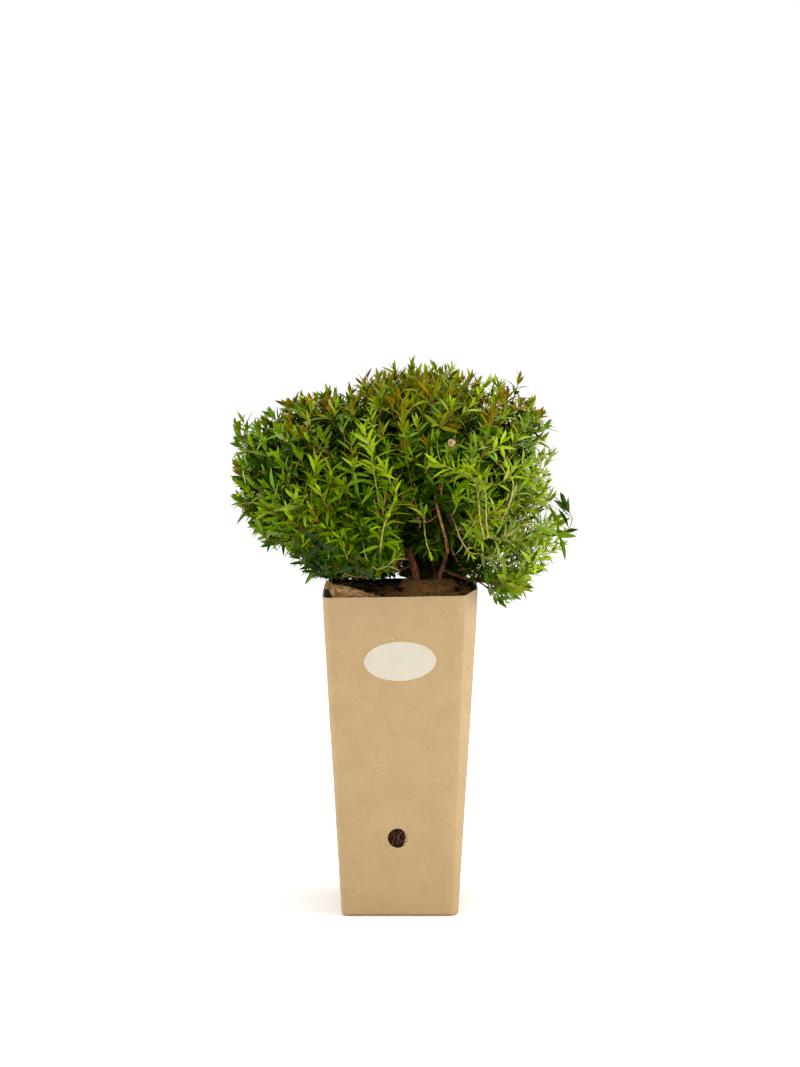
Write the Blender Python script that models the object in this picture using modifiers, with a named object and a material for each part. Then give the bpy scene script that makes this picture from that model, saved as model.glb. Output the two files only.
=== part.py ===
"""Potted myrtle: a small dense evergreen shrub in a tall tapering card pot.

Metres, +Z up. The origin is the middle of the pot's flat underside and the front faces -Y.
Run it with: blender --background --python part.py
"""

import math
import random
from dataclasses import dataclass

import bmesh
import bpy
from mathutils import Matrix, Vector
from mathutils.geometry import intersect_point_line

# Clearance between touching pieces
GAP = 0.0003

# Card pot: a rounded square that widens from its foot to its rim
POT_TOP_WIDTH = 0.138
POT_BASE_WIDTH = 0.107
POT_HEIGHT = 0.298
CARD = 0.0015
POT_BULGE = 0.0022
BULGE_REACH = 0.75
RIM_TILT = 0.0011
BASE_ROUND = 0.003
BASE_ROUND_STEPS = 2
WALL_STEPS = 4
CORNER_STEPS = 3
SIDE_STEPS = 3
# Corner radii at the rim: back right, back left, front left, front right
CORNER_RADII = (0.008, 0.007, 0.0055, 0.0115)

# Drainage hole through the front wall
HOLE_RADIUS = 0.0092
HOLE_X = -0.002
HOLE_Z = 0.072
HOLE_CUT_DEPTH = 0.012
HOLE_SIDES = 24

# Black liner, a thin plastic bag that stands proud of the card at the front corners
LINER = 0.0008
LINER_RISE = 0.0006
LINER_CORNER_RISES = (0.002, 0.003, 0.010, 0.0055)
LINER_CORNER_SPREAD = 0.016
LINER_HOLE_RADIUS = 0.0106

# Coir mat on the root ball, with a mound where the stems stand and a curled front left edge
MAT = 0.0035
MAT_TOP = 0.2955
MAT_EDGE_GAP = 0.0008
BRIM_Z = MAT_TOP - MAT - GAP
MOUND_TOP = 0.3035
MOUND_X = 0.023
MOUND_Y = 0.004
MOUND_HALF_X = 0.033
MOUND_HALF_Y = 0.027
MOUND_SLOPE = 0.45
CURL_HEIGHT = 0.0125
CURL_REACH = 0.019
CURL_FRONT_END = -0.006
CURL_SIDE_END = 0.020
CURL_RAMP = 0.052
TOP_RING_SCALES = (0.91, 0.81, 0.66, 0.48, 0.24)

# Bare oval label on the front wall
LABEL_WIDTH = 0.065
LABEL_HEIGHT = 0.036
LABEL_THICKNESS = 0.0003
LABEL_Z = 0.2385
LABEL_TURN = math.radians(2.0)
LABEL_SIDES = 28
LABEL_RING_SCALES = (0.50,)

# Growth of the foliage masses
CROWN_HEART = Vector((0.0, 0.0, 0.375))
CROWN_LOW = Vector((-0.1530, -0.1470, 0.2765))
CROWN_HIGH = Vector((0.1590, 0.1470, 0.5130))
POT_CLEARANCE = 0.004
RIM_CLEAR_Z = 0.312
CELL_MARGIN = 0.0007
MASS_STEM = 0.017
MASS_STEM_RADIUS = 0.0015
MASS_STEM_ENTRY = 0.4
MASS_STEM_RISE = 0.6
TWIG_ROOTS = (0.30, 0.95)
MASS_TWIGS = 11
TWIG_RADIUS = 0.0016
TWIG_TIP_RADIUS = 0.0013
TWIG_POINTS = 3
TWIG_SAG = 0.14
DIRECTION_TRIES = 90
INWARD_LIMIT = -0.15
EXIT_STEP = 0.002
SHORTEST_EXIT = 0.026
SHORTEST_TWIG = 0.005
CELL_SPAN = 0.075
LEAD_ALLOWANCE = 0.01
GOLDEN_ANGLE = math.pi * (3.0 - math.sqrt(5.0))
GOLDEN_SHARE = 0.618
UPRIGHT_LIMIT = 0.001
WELD = 0.000001
LEAF_LENGTH = 0.032
LEAF_WIDTH = 0.0140
LEAF_SIZES = (1.0, 0.82, 0.66)
LEAF_THICKNESS = 0.0012
LEAF_SINK = 0.0006
LEAF_BROADEST = 0.40
LEAF_SPREAD = math.radians(62.0)
LEAF_PAIR_PLACES = (0.55, 0.95)
LEAF_SPACING = 0.013
LEAF_SAMPLES = 4
LIMB_CLEARANCE = 0.0008
CORE_SHARE = 0.50
OPEN_CORE_SHARE = 0.22
CORE_CELL_FULLNESS = 1.8
CORE_UNEVENNESS = (0.78, 1.06)
CORE_LIMB_CLEARANCE = 0.0015
CORE_FACE_ANGLE = math.radians(39.0)
CORE_STEP = 0.003
CORE_SMALLEST = 0.006
CORE_DIVISIONS = 2

# Colours as linear red, green, blue and opaque alpha
CARD_COLOUR = (0.60, 0.43, 0.21, 1.0)
LINER_COLOUR = (0.012, 0.011, 0.013, 1.0)
COMPOST_COLOUR = (0.035, 0.020, 0.011, 1.0)
COIR_COLOUR = (0.36, 0.20, 0.09, 1.0)
LABEL_COLOUR = (0.78, 0.75, 0.60, 1.0)
BARK_COLOUR = (0.20, 0.085, 0.040, 1.0)
LOW_LEAF_COLOUR = (0.020, 0.075, 0.018, 1.0)
TOP_LEAF_COLOUR = (0.130, 0.260, 0.020, 1.0)
LOW_LEAF_Z = 0.320
TOP_LEAF_Z = 0.440


@dataclass
class Stem:
    """A stem: where it stands, where it forks, its direction there, its radii and its bow."""

    name: str
    foot: tuple
    tip: tuple
    arrive: tuple
    radius: float
    tip_radius: float
    bow: tuple


@dataclass
class Mass:
    """A foliage mass: its middle, the limb its bough leaves, and the tips of its leading shoots."""

    name: str
    carrier: str
    along: float
    centre: tuple
    radius: float
    core: float = CORE_SHARE
    leads: tuple = ()


# Stems stand on the mat's mound and boughs leave them
STEM_FLARE = 1.5
STEM_FLARE_HEIGHT = 0.006
STEM_COLLAR_HEIGHT = 0.002
STEM_COLLAR_FLARE = 1.175
STEM_SIDES_LEVEL = 2
BOUGH_SIDES_LEVEL = 1
LIMB_POINTS = 5
LIMB_RUN = 0.0018
BOUGH_TIP_RADIUS = 0.0012
BEND_FULLNESS = 1.03
ENTRY_RISE = 0.7
ENTRY_SPAN = 0.055
STEMS = (
    Stem("main_stem", (0.0145, -0.003), (0.0075, -0.004, 0.337), (-0.20, 0.0, 1.0),
         0.0037, 0.0029, (-0.001, 0.0, 0.0)),
    Stem("right_stem", (0.0370, -0.004), (0.0340, -0.010, 0.369), (-0.22, -0.10, 1.0),
         0.0020, 0.0016, (0.0065, 0.0, 0.0)),
    Stem("left_stem", (0.0110, 0.014), (-0.0080, 0.021, 0.340), (-0.60, 0.10, 1.0),
         0.0027, 0.0021, (0.003, 0.0, 0.0)),
    Stem("back_stem", (0.0320, 0.017), (0.0360, 0.031, 0.350), (0.10, 0.30, 1.0),
         0.0026, 0.0020, (0.002, 0.0, 0.0)),
)

# The crown's outline: rounded lobes by their middle and their reach along X, Y and Z
LOBE_SQUARENESS = 2.4
LOBES = (
    ((0.020, 0.000, 0.415), (0.125, 0.145, 0.090)),
    ((-0.074, -0.004, 0.409), (0.079, 0.122, 0.073)),
    ((-0.070, -0.008, 0.346), (0.053, 0.084, 0.040)),
    ((0.112, -0.018, 0.366), (0.046, 0.088, 0.048)),
    ((0.093, -0.030, 0.326), (0.048, 0.064, 0.049)),
    ((-0.030, -0.078, 0.344), (0.048, 0.056, 0.038)),
    ((0.000, 0.076, 0.346), (0.078, 0.060, 0.040)),
)
# The open space in front of the stems, under the crown
WINDOWS = (
    ((0.036, -0.070, 0.318), (0.042, 0.080, 0.040)),
)

# One mass a bough. Each keeps to the part of the crown that is nearer to it than to any other.
MASSES = (
    Mass("foliage_top_middle", "main_stem", 1.0, (0.022, 0.003, 0.458), 0.0020,
         leads=((0.011, -0.010, 0.5128), (0.042, -0.008, 0.5085))),
    Mass("foliage_top_front", "main_stem", 0.94, (0.014, -0.060, 0.440), 0.0018,
         leads=((0.024, -0.062, 0.5040), (-0.020, -0.060, 0.4990))),
    Mass("foliage_top_left", "main_stem", 0.88, (-0.056, -0.008, 0.438), 0.0018,
         leads=((-0.033, 0.000, 0.5060), (-0.098, -0.020, 0.4800))),
    Mass("foliage_front_left", "main_stem", 0.70, (-0.064, -0.084, 0.394), 0.0018,
         leads=((-0.100, -0.085, 0.4580),)),
    Mass("foliage_low_front", "main_stem", 0.52, (-0.028, -0.084, 0.340), 0.0014,
         leads=((-0.018, -0.126, 0.3120),)),
    Mass("foliage_front_right", "right_stem", 1.0, (0.052, -0.086, 0.394), 0.0014),
    Mass("foliage_top_right", "right_stem", 0.84, (0.084, -0.004, 0.436), 0.0014,
         leads=((0.112, -0.010, 0.5020), (0.131, 0.010, 0.4660))),
    Mass("foliage_right", "right_stem", 0.62, (0.110, -0.014, 0.380), 0.0014,
         leads=((0.1585, -0.035, 0.3810), (0.154, 0.000, 0.3430))),
    Mass("foliage_low_right", "right_stem", 0.18, (0.096, -0.032, 0.322), 0.0015, OPEN_CORE_SHARE,
         leads=((0.091, -0.050, 0.2770), (0.122, -0.030, 0.2920))),
    Mass("foliage_left", "left_stem", 1.0, (-0.110, -0.004, 0.400), 0.0017,
         leads=((-0.1525, -0.030, 0.4590), (-0.1525, -0.010, 0.4180))),
    Mass("foliage_low_left", "left_stem", 0.80, (-0.080, -0.012, 0.345), 0.0014,
         leads=((-0.120, -0.020, 0.3360), (-0.090, -0.040, 0.3080))),
    Mass("foliage_back_left", "left_stem", 0.60, (-0.062, 0.084, 0.394), 0.0017),
    Mass("foliage_top_back", "back_stem", 1.0, (0.018, 0.066, 0.440), 0.0018,
         leads=((0.030, 0.060, 0.5040), (-0.035, 0.075, 0.4940))),
    Mass("foliage_back_right", "back_stem", 0.78, (0.072, 0.082, 0.392), 0.0017),
    Mass("foliage_low_back", "back_stem", 0.56, (0.004, 0.086, 0.342), 0.0014),
)


def clear_scene():
    """Remove every object that the file opened with."""
    for thing in list(bpy.data.objects):
        bpy.data.objects.remove(thing)


def new_collection(name):
    """A collection linked to the scene."""
    collection = bpy.data.collections.new(name)
    bpy.context.scene.collection.children.link(collection)
    return collection


def add_object(name, data, collection, parent=None):
    """An object with the given mesh or curve, in a collection and under a parent."""
    thing = bpy.data.objects.new(name, data)
    collection.objects.link(thing)
    thing.parent = parent
    return thing


def finish(thing, colour, roughness):
    """Give an object its own Principled material."""
    material = bpy.data.materials.new(thing.name + "_finish")
    material.use_nodes = True
    shader = material.node_tree.nodes["Principled BSDF"]
    shader.inputs["Base Color"].default_value = colour
    shader.inputs["Roughness"].default_value = roughness
    shader.inputs["Metallic"].default_value = 0.0
    material.diffuse_color = colour
    thing.data.materials.clear()
    thing.data.materials.append(material)


def shade_round(mesh, angle=math.radians(35.0)):
    """Shade a mesh smooth, with its sharp edges kept."""
    mesh.shade_smooth()
    mesh.set_sharp_from_angle(angle=angle)


def mix(start, end, share):
    """A value between two others."""
    return start + (end - start) * share


def ease(value):
    """A smooth step from 0 to 1, flat at both ends."""
    value = min(max(value, 0.0), 1.0)
    return value * value * (3.0 - 2.0 * value)


def loft(name, rings, close_start=True, close_end=True, slant=1):
    """A mesh skinned over rings that have the same number of points each.

    Its triangles all slant the same way, one way or the other, so that nested skins fit.
    """
    work = bmesh.new()
    loops = [[work.verts.new(point) for point in ring] for ring in rings]
    for lower, upper in zip(loops, loops[1:]):
        for index in range(len(lower)):
            after = (index + 1) % len(lower)
            if slant > 0:
                work.faces.new((lower[index], lower[after], upper[after]))
                work.faces.new((lower[index], upper[after], upper[index]))
            else:
                work.faces.new((lower[index], lower[after], upper[index]))
                work.faces.new((lower[after], upper[after], upper[index]))
    if close_start:
        work.faces.new(tuple(reversed(loops[0])))
    if close_end:
        work.faces.new(tuple(loops[-1]))
    if close_start and close_end:
        bmesh.ops.recalc_face_normals(work, faces=work.faces)
    mesh = bpy.data.meshes.new(name)
    work.to_mesh(mesh)
    work.free()
    return mesh


def pot_half_width(z):
    """Half the pot's outer width at a height."""
    return mix(POT_BASE_WIDTH, POT_TOP_WIDTH, z / POT_HEIGHT) / 2.0


def wall_bulge(z):
    """How far the middle of each wall swells outward at a height."""
    return POT_BULGE * math.sin(math.pi * BULGE_REACH * min(z / POT_HEIGHT, 1.0))


def pot_outline(z, inset):
    """The pot's outline at a height, as X and Y points drawn in by an inset."""
    half = pot_half_width(z) - inset
    points = []
    for quarter in range(4):
        turn = Matrix.Rotation(quarter * math.pi / 2.0, 2)
        radius = max(CORNER_RADII[quarter] - inset, GAP)
        next_radius = max(CORNER_RADII[(quarter + 1) % 4] - inset, GAP)
        for step in range(CORNER_STEPS + 1):
            angle = step / CORNER_STEPS * math.pi / 2.0
            arc = Vector((math.cos(angle), math.sin(angle))) * radius
            points.append(turn @ (Vector((half - radius, half - radius)) + arc))
        for step in range(1, SIDE_STEPS):
            x = mix(half - radius, next_radius - half, step / SIDE_STEPS)
            points.append(turn @ Vector((x, half)))
    return [bulged(point, half, wall_bulge(z)) for point in points]


def bulged(point, half, bulge):
    """A point of a square outline after its four sides swell outward."""
    swell_x = bulge / half * (1.0 - (point.y / half) ** 2)
    swell_y = bulge / half * (1.0 - (point.x / half) ** 2)
    return Vector((point.x * (1.0 + swell_x), point.y * (1.0 + swell_y)))


def front_wall_y(x, z):
    """Y of the pot's front wall at a place on it."""
    half = pot_half_width(z)
    return -(half + wall_bulge(z) * (1.0 - (x / half) ** 2))


def cup_rings(inset, floor_z):
    """Rings of a cup with a rounded foot, at shared heights up to the root ball's brim."""
    rings = []
    for step in range(BASE_ROUND_STEPS + 1):
        angle = step / BASE_ROUND_STEPS * math.pi / 2.0
        z = floor_z + BASE_ROUND * (1.0 - math.cos(angle))
        tuck = BASE_ROUND * (1.0 - math.sin(angle))
        rings.append([(p.x, p.y, z) for p in pot_outline(z, inset + tuck)])
    for step in range(1, WALL_STEPS + 1):
        z = BRIM_Z * step / WALL_STEPS
        rings.append([(p.x, p.y, z) for p in pot_outline(z, inset)])
    return rings


def rim_ring(inset, rim_z):
    """The top ring of a cup, with its height worked out for each point."""
    return [(p.x, p.y, rim_z(p.x, p.y)) for p in pot_outline(POT_HEIGHT, inset)]


def card_rim(x, y):
    """The card's rim climbs a little to the right."""
    return POT_HEIGHT + RIM_TILT * x / (POT_TOP_WIDTH / 2.0)


def liner_rim(x, y):
    """The liner's rim stands proud of the card, most at the front corners."""
    half = POT_TOP_WIDTH / 2.0
    corners = ((half, half), (-half, half), (-half, -half), (half, -half))
    rise = LINER_RISE
    for corner, height in zip(corners, LINER_CORNER_RISES):
        distance = math.hypot(x - corner[0], y - corner[1])
        rise += height * math.exp(-((distance / LINER_CORNER_SPREAD) ** 2))
    return card_rim(x, y) + rise


def hole_cutter(name, radius, collection):
    """A cylinder along Y through the pot's front wall."""
    work = bmesh.new()
    bmesh.ops.create_cone(work, cap_ends=True, segments=HOLE_SIDES, radius1=radius, radius2=radius,
                          depth=HOLE_CUT_DEPTH)
    mesh = bpy.data.meshes.new(name)
    work.to_mesh(mesh)
    work.free()
    cutter = add_object(name, mesh, collection)
    cutter.location = (HOLE_X, front_wall_y(HOLE_X, HOLE_Z), HOLE_Z)
    cutter.rotation_euler = (math.pi / 2.0, 0.0, 0.0)
    cutter.hide_render = True
    cutter.display_type = "WIRE"
    return cutter


def cut(thing, cutter):
    """Cut a hole in an object with a cutter."""
    hole = thing.modifiers.new("Hole", "BOOLEAN")
    hole.operation = "DIFFERENCE"
    hole.object = cutter
    hole.solver = "EXACT"


def thicken(thing, thickness):
    """Turn an open surface into a wall that lies inside it."""
    wall = thing.modifiers.new("Wall", "SOLIDIFY")
    wall.thickness = thickness
    wall.offset = -1.0
    wall.use_even_offset = True


def build_card_pot(parts, cutters, root):
    """The tapering card pot with its floor and drainage hole."""
    rings = cup_rings(0.0, 0.0) + [rim_ring(0.0, card_rim)]
    mesh = loft("card_pot", rings, close_end=False, slant=-1)
    shade_round(mesh)
    pot = add_object("card_pot", mesh, parts, root)
    thicken(pot, CARD)
    cut(pot, hole_cutter("card_hole_cutter", HOLE_RADIUS, cutters))
    finish(pot, CARD_COLOUR, 0.85)


def build_liner(parts, cutters, root):
    """The black liner inside the card."""
    rings = cup_rings(CARD + GAP, CARD + GAP) + [rim_ring(CARD + GAP, liner_rim)]
    mesh = loft("liner", rings, close_end=False, slant=-1)
    shade_round(mesh)
    liner = add_object("liner", mesh, parts, root)
    thicken(liner, LINER)
    cut(liner, hole_cutter("liner_hole_cutter", LINER_HOLE_RADIUS, cutters))
    finish(liner, LINER_COLOUR, 0.45)


def mound_share(x, y):
    """1 on the flat top of the mound, falling to 0 round it."""
    distance = math.hypot((x - MOUND_X) / MOUND_HALF_X, (y - MOUND_Y) / MOUND_HALF_Y)
    return 1.0 - ease((distance - 1.0) / MOUND_SLOPE)


def mound_z(x, y):
    """Height of the mat's top without its curled edge."""
    return mix(MAT_TOP, MOUND_TOP, mound_share(x, y))


def curl(x, y):
    """How far the mat curls up along its front left and left edges."""
    half = POT_TOP_WIDTH / 2.0
    front = ease((-y - half + CURL_REACH) / CURL_REACH) * ease((CURL_FRONT_END - x) / CURL_RAMP)
    side = ease((-x - half + CURL_REACH) / CURL_REACH) * ease((CURL_SIDE_END - y) / CURL_RAMP)
    return CURL_HEIGHT * max(front, side)


def top_rings(outline, height):
    """Rings from an outline in to the mound's middle, at a height worked out for each point."""
    middle = Vector((MOUND_X, MOUND_Y))
    rings = []
    for scale in (1.0,) + TOP_RING_SCALES:
        flat = [middle + (point - middle) * scale for point in outline]
        rings.append([(p.x, p.y, height(p.x, p.y)) for p in flat])
    return rings


def build_root_ball(parts, root):
    """Compost that fills the liner, mounded under the stems."""
    inset = CARD + LINER + 2.0 * GAP
    sides = cup_rings(inset, inset)
    top = top_rings(mat_outline(), lambda x, y: mound_z(x, y) - MAT - GAP)
    mesh = loft("root_ball", list(reversed(sides + top)))
    shade_round(mesh)
    finish(add_object("root_ball", mesh, parts, root), COMPOST_COLOUR, 0.95)


def mat_outline():
    """The mat's edge, a little inside the liner."""
    return pot_outline(MAT_TOP, CARD + LINER + 2.0 * GAP + MAT_EDGE_GAP)


def build_coir_mat(parts, root):
    """The fibre mat that lies on the root ball."""
    top = top_rings(mat_outline(), lambda x, y: mound_z(x, y) + curl(x, y))
    bottom = top_rings(mat_outline(), lambda x, y: mound_z(x, y) + curl(x, y) - MAT)
    mesh = loft("coir_mat", list(reversed(bottom)) + top)
    shade_round(mesh)
    finish(add_object("coir_mat", mesh, parts, root), COIR_COLOUR, 0.95)


def build_label(parts, root):
    """The bare oval label, bent to the front wall."""
    turn = Matrix.Rotation(LABEL_TURN, 2)
    rings = []
    for scale in (1.0,) + LABEL_RING_SCALES:
        ring = []
        for index in range(LABEL_SIDES):
            angle = math.tau * index / LABEL_SIDES
            flat = Vector((LABEL_WIDTH * math.cos(angle), LABEL_HEIGHT * math.sin(angle))) / 2.0
            flat = turn @ (flat * scale)
            z = LABEL_Z + flat.y
            y = front_wall_y(flat.x, z) - GAP - LABEL_THICKNESS
            ring.append((flat.x, y, z))
        rings.append(ring)
    mesh = loft("label", rings, close_start=False)
    label = add_object("label", mesh, parts, root)
    thicken(label, LABEL_THICKNESS)
    finish(label, LABEL_COLOUR, 0.6)


def bezier(start, leave, arrive, end, share):
    """A point on the cubic curve that leaves and arrives along two vectors."""
    one = 1.0 - share
    control_a = start + leave
    control_b = end - arrive
    return (one ** 3 * start + 3.0 * one ** 2 * share * control_a
            + 3.0 * one * share ** 2 * control_b + share ** 3 * end)


def limb_path(start, leave, end, arrive, bow=Vector()):
    """Points of a limb with a short straight run at each end, bowed sideways between them."""
    leave = leave.normalized()
    arrive = arrive.normalized()
    first = start + leave * LIMB_RUN
    last = end - arrive * LIMB_RUN
    third = (last - first).length / 3.0
    points = [start]
    for index in range(LIMB_POINTS):
        share = index / (LIMB_POINTS - 1)
        point = bezier(first, leave * third, arrive * third, last, share)
        points.append(point + bow * math.sin(math.pi * share))
    return points + [end]


def path_point(points, share):
    """The place and the direction at a share of a path's length, and the segment it is on."""
    lengths = [(b - a).length for a, b in zip(points, points[1:])]
    left = sum(lengths) * min(max(share, 0.0), 1.0)
    for index, length in enumerate(lengths):
        if left <= length or index == len(lengths) - 1:
            direction = (points[index + 1] - points[index]).normalized()
            return points[index] + direction * min(left, length), direction, index
        left -= length


def stem_limb(stem):
    """Points and radii of a stem, with a flat foot and a root flare."""
    foot = Vector((*stem.foot, MOUND_TOP + GAP))
    start = foot + Vector((0.0, 0.0, STEM_FLARE_HEIGHT))
    path = limb_path(start, Vector((0.0, 0.0, 1.0)), Vector(stem.tip), Vector(stem.arrive),
                     Vector(stem.bow))
    collar = foot + Vector((0.0, 0.0, STEM_COLLAR_HEIGHT))
    radii = taper(stem.radius, stem.tip_radius, len(path))
    flared = [stem.radius * STEM_FLARE, stem.radius * STEM_COLLAR_FLARE]
    return [foot, collar] + path, flared + radii


def taper(start, end, count):
    """Radii that fall evenly from start to end."""
    return [mix(start, end, index / (count - 1)) for index in range(count)]


def mass_approach(mass):
    """The direction in which a bough enters its mass: outward and up."""
    outward = Vector(mass.centre) - CROWN_HEART
    outward.z = 0.0
    outward /= max(outward.length, ENTRY_SPAN)
    return (outward + Vector((0.0, 0.0, ENTRY_RISE))).normalized()


def bough_limb(mass, carrier):
    """Points and radii of the bough that runs from its carrier to a mass."""
    points, radii = carrier
    place, direction, index = path_point(points, mass.along)
    approach = mass_approach(mass)
    end = Vector(mass.centre) - approach * MASS_STEM
    if mass.along >= 1.0:
        start = place + direction * GAP
        leave = direction
    else:
        toward = Vector(mass.centre) - place
        leave = (toward - direction * toward.dot(direction)).normalized()
        start = place + leave * (radii[index] * BEND_FULLNESS + GAP)
    path = limb_path(start, leave, end, approach)
    return path, taper(mass.radius, BOUGH_TIP_RADIUS, len(path))


def plan_limbs():
    """Every limb by name, as its points and radii."""
    limbs = {stem.name: stem_limb(stem) for stem in STEMS}
    for mass in MASSES:
        limbs[bough_name(mass)] = bough_limb(mass, limbs[mass.carrier])
    return limbs


def bough_name(mass):
    """The name of the bough that carries a mass."""
    return mass.name.replace("foliage", "bough")


def build_limb(name, limb, parts, root):
    """A tapering limb as a bevelled curve with filled caps."""
    curve = tube_curve(name, *limb)
    curve.bevel_depth = 1.0
    curve.bevel_resolution = STEM_SIDES_LEVEL if "stem" in name else BOUGH_SIDES_LEVEL
    finish(add_object(name, curve, parts, root), BARK_COLOUR, 0.8)


def tube_curve(name, points, radii):
    """A straight-sided curve through points, with its thickness at each."""
    curve = bpy.data.curves.new(name, "CURVE")
    curve.dimensions = "3D"
    curve.use_fill_caps = True
    spline = curve.splines.new("POLY")
    spline.points.add(len(points) - 1)
    for knot, point, radius in zip(spline.points, points, radii):
        knot.co = (*point, 1.0)
        knot.radius = radius
    return curve


def twig_profile(collection):
    """A triangle one metre in radius that gives every twig its three sides."""
    curve = bpy.data.curves.new("twig_profile", "CURVE")
    curve.dimensions = "2D"
    spline = curve.splines.new("POLY")
    spline.points.add(2)
    spline.use_cyclic_u = True
    for index, knot in enumerate(spline.points):
        angle = math.tau * index / 3.0
        knot.co = (math.cos(angle), math.sin(angle), 0.0, 1.0)
    profile = add_object("twig_profile", curve, collection)
    profile.hide_render = True
    profile.display_type = "WIRE"
    return profile


def cell_planes(mass):
    """Directions and distances, from a mass's middle, of the planes that part it from the others."""
    planes = []
    for other in MASSES:
        if other is not mass:
            across = Vector(other.centre) - Vector(mass.centre)
            planes.append((across.normalized(), across.length / 2.0 - CELL_MARGIN))
    return planes


def lobe_level(point, lobe):
    """A point's distance from a lobe's middle, as a share of the lobe's reach that way."""
    middle, reach = lobe
    total = sum(abs((p - m) / r) ** LOBE_SQUARENESS for p, m, r in zip(point, middle, reach))
    return total ** (1.0 / LOBE_SQUARENESS)


def crown_level(point):
    """Below 1 inside the crown's outline and above 1 outside it or in a window."""
    level = min(lobe_level(point, lobe) for lobe in LOBES)
    for window in WINDOWS:
        level = max(level, 2.0 - lobe_level(point, window))
    return level


def room_along(planes, direction):
    """Distance from a mass's middle to the nearest of its planes along a direction."""
    rooms = [distance / normal.dot(direction) for normal, distance in planes
             if normal.dot(direction) > 0.0]
    return min(rooms, default=CELL_SPAN)


def crown_exit(middle, direction):
    """Distance from a place to the edge of the crown."""
    distance = 0.0
    while crown_level(middle + direction * distance) <= 1.0:
        distance += EXIT_STEP
    return max(distance - EXIT_STEP, 0.0)


def exit_along(mass, planes, direction):
    """Distance from a mass's middle to the edge of its own part of the crown."""
    middle = Vector(mass.centre)
    distance = 0.0
    while in_space(mass, planes, middle + direction * distance, 1.0):
        distance += EXIT_STEP
    return max(distance - EXIT_STEP, 0.0)


def in_cell(mass, planes, point, margin=0.0):
    """Whether a point keeps to a mass's cell."""
    offset = point - Vector(mass.centre)
    return all(normal.dot(offset) + margin < distance for normal, distance in planes)


def clear_of_pot(point):
    """Whether a point is above the pot's rim or well outside its walls."""
    wall = POT_TOP_WIDTH / 2.0 + POT_BULGE + POT_CLEARANCE
    return point.z > RIM_CLEAR_Z or max(abs(point.x), abs(point.y)) > wall


def in_space(mass, planes, point, limit, margin=0.0):
    """Whether a point keeps to a mass's cell, to the crown's outline and box, and off the pot."""
    boxed = all(low <= c <= high for low, c, high in zip(CROWN_LOW, point, CROWN_HIGH))
    if not boxed or not in_cell(mass, planes, point, margin):
        return False
    return clear_of_pot(point) and crown_level(point) <= limit


def limb_distance(point, limbs):
    """How far a point is from the nearest limb's bark."""
    nearest = 1.0
    for points, radii in limbs:
        for index in range(len(points) - 1):
            foot, share = intersect_point_line(point, points[index], points[index + 1])
            share = min(max(share, 0.0), 1.0)
            foot = points[index].lerp(points[index + 1], share)
            nearest = min(nearest, (point - foot).length - max(radii[index], radii[index + 1]))
    return nearest


def near_limbs(mass, limbs):
    """The limbs that pass through a mass or close to it."""
    wide = CELL_SPAN + LEAF_LENGTH
    centre = Vector(mass.centre)
    return [limb for limb in limbs.values()
            if any((point - centre).length < wide for point in limb[0])]


def leaf_corners(base, direction, normal, size):
    """The points that bound a leaf: its tip and the two ends of its broadest line."""
    side = direction.cross(normal).normalized() * LEAF_WIDTH / 2.0 * size
    along = direction * LEAF_LENGTH * size
    broad = base + along * LEAF_BROADEST
    return (base + along, broad + side, broad - side)


def leaf_fits(mass, planes, limbs, leaves, limit, leaf):
    """Whether a leaf keeps to its mass's space and clear of the limbs and of other leaves."""
    base, direction, normal, size = leaf
    corners = leaf_corners(*leaf)
    if not all(in_space(mass, planes, corner, limit, LEAF_THICKNESS) for corner in corners):
        return False
    middle = leaf_middle(leaf)
    if any((middle - leaf_middle(other)).length < LEAF_SPACING for other in leaves):
        return False
    samples = [base + direction * LEAF_LENGTH * size * step / LEAF_SAMPLES
               for step in range(1, LEAF_SAMPLES + 1)]
    clear = LEAF_WIDTH * size / 2.0 + LIMB_CLEARANCE
    return all(limb_distance(sample, limbs) > clear for sample in samples)


def leaf_middle(leaf):
    """The middle of a leaf's midrib."""
    base, direction, normal, size = leaf
    return base + direction * LEAF_LENGTH * size / 2.0


def add_leaf(mass, planes, limbs, leaves, limit, base, direction, normal):
    """Add a leaf at the largest size that fits, or none."""
    for size in LEAF_SIZES:
        leaf = (base, direction, normal, size)
        if leaf_fits(mass, planes, limbs, leaves, limit, leaf):
            leaves.append(leaf)
            return


def leaf_mesh(base, direction, normal, size):
    """An eight-faced leaf, broadest below its middle."""
    work = bmesh.new()
    bmesh.ops.create_uvsphere(work, u_segments=4, v_segments=2, radius=0.5)
    for vertex in work.verts:
        if abs(vertex.co.z) < LEAF_BROADEST / 2.0:
            vertex.co.z += LEAF_BROADEST - 0.5
    side = direction.cross(normal).normalized()
    face = side.cross(direction).normalized()
    sides = (side * LEAF_WIDTH * size, face * LEAF_THICKNESS, direction * LEAF_LENGTH * size)
    middle = base + direction * LEAF_LENGTH * size / 2.0
    place = Matrix.Translation(middle) @ Matrix(sides).transposed().to_4x4()
    bmesh.ops.transform(work, matrix=place, verts=work.verts)
    bmesh.ops.recalc_face_normals(work, faces=work.faces)
    mesh = bpy.data.meshes.new("leaf")
    work.to_mesh(mesh)
    work.free()
    return mesh


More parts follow.
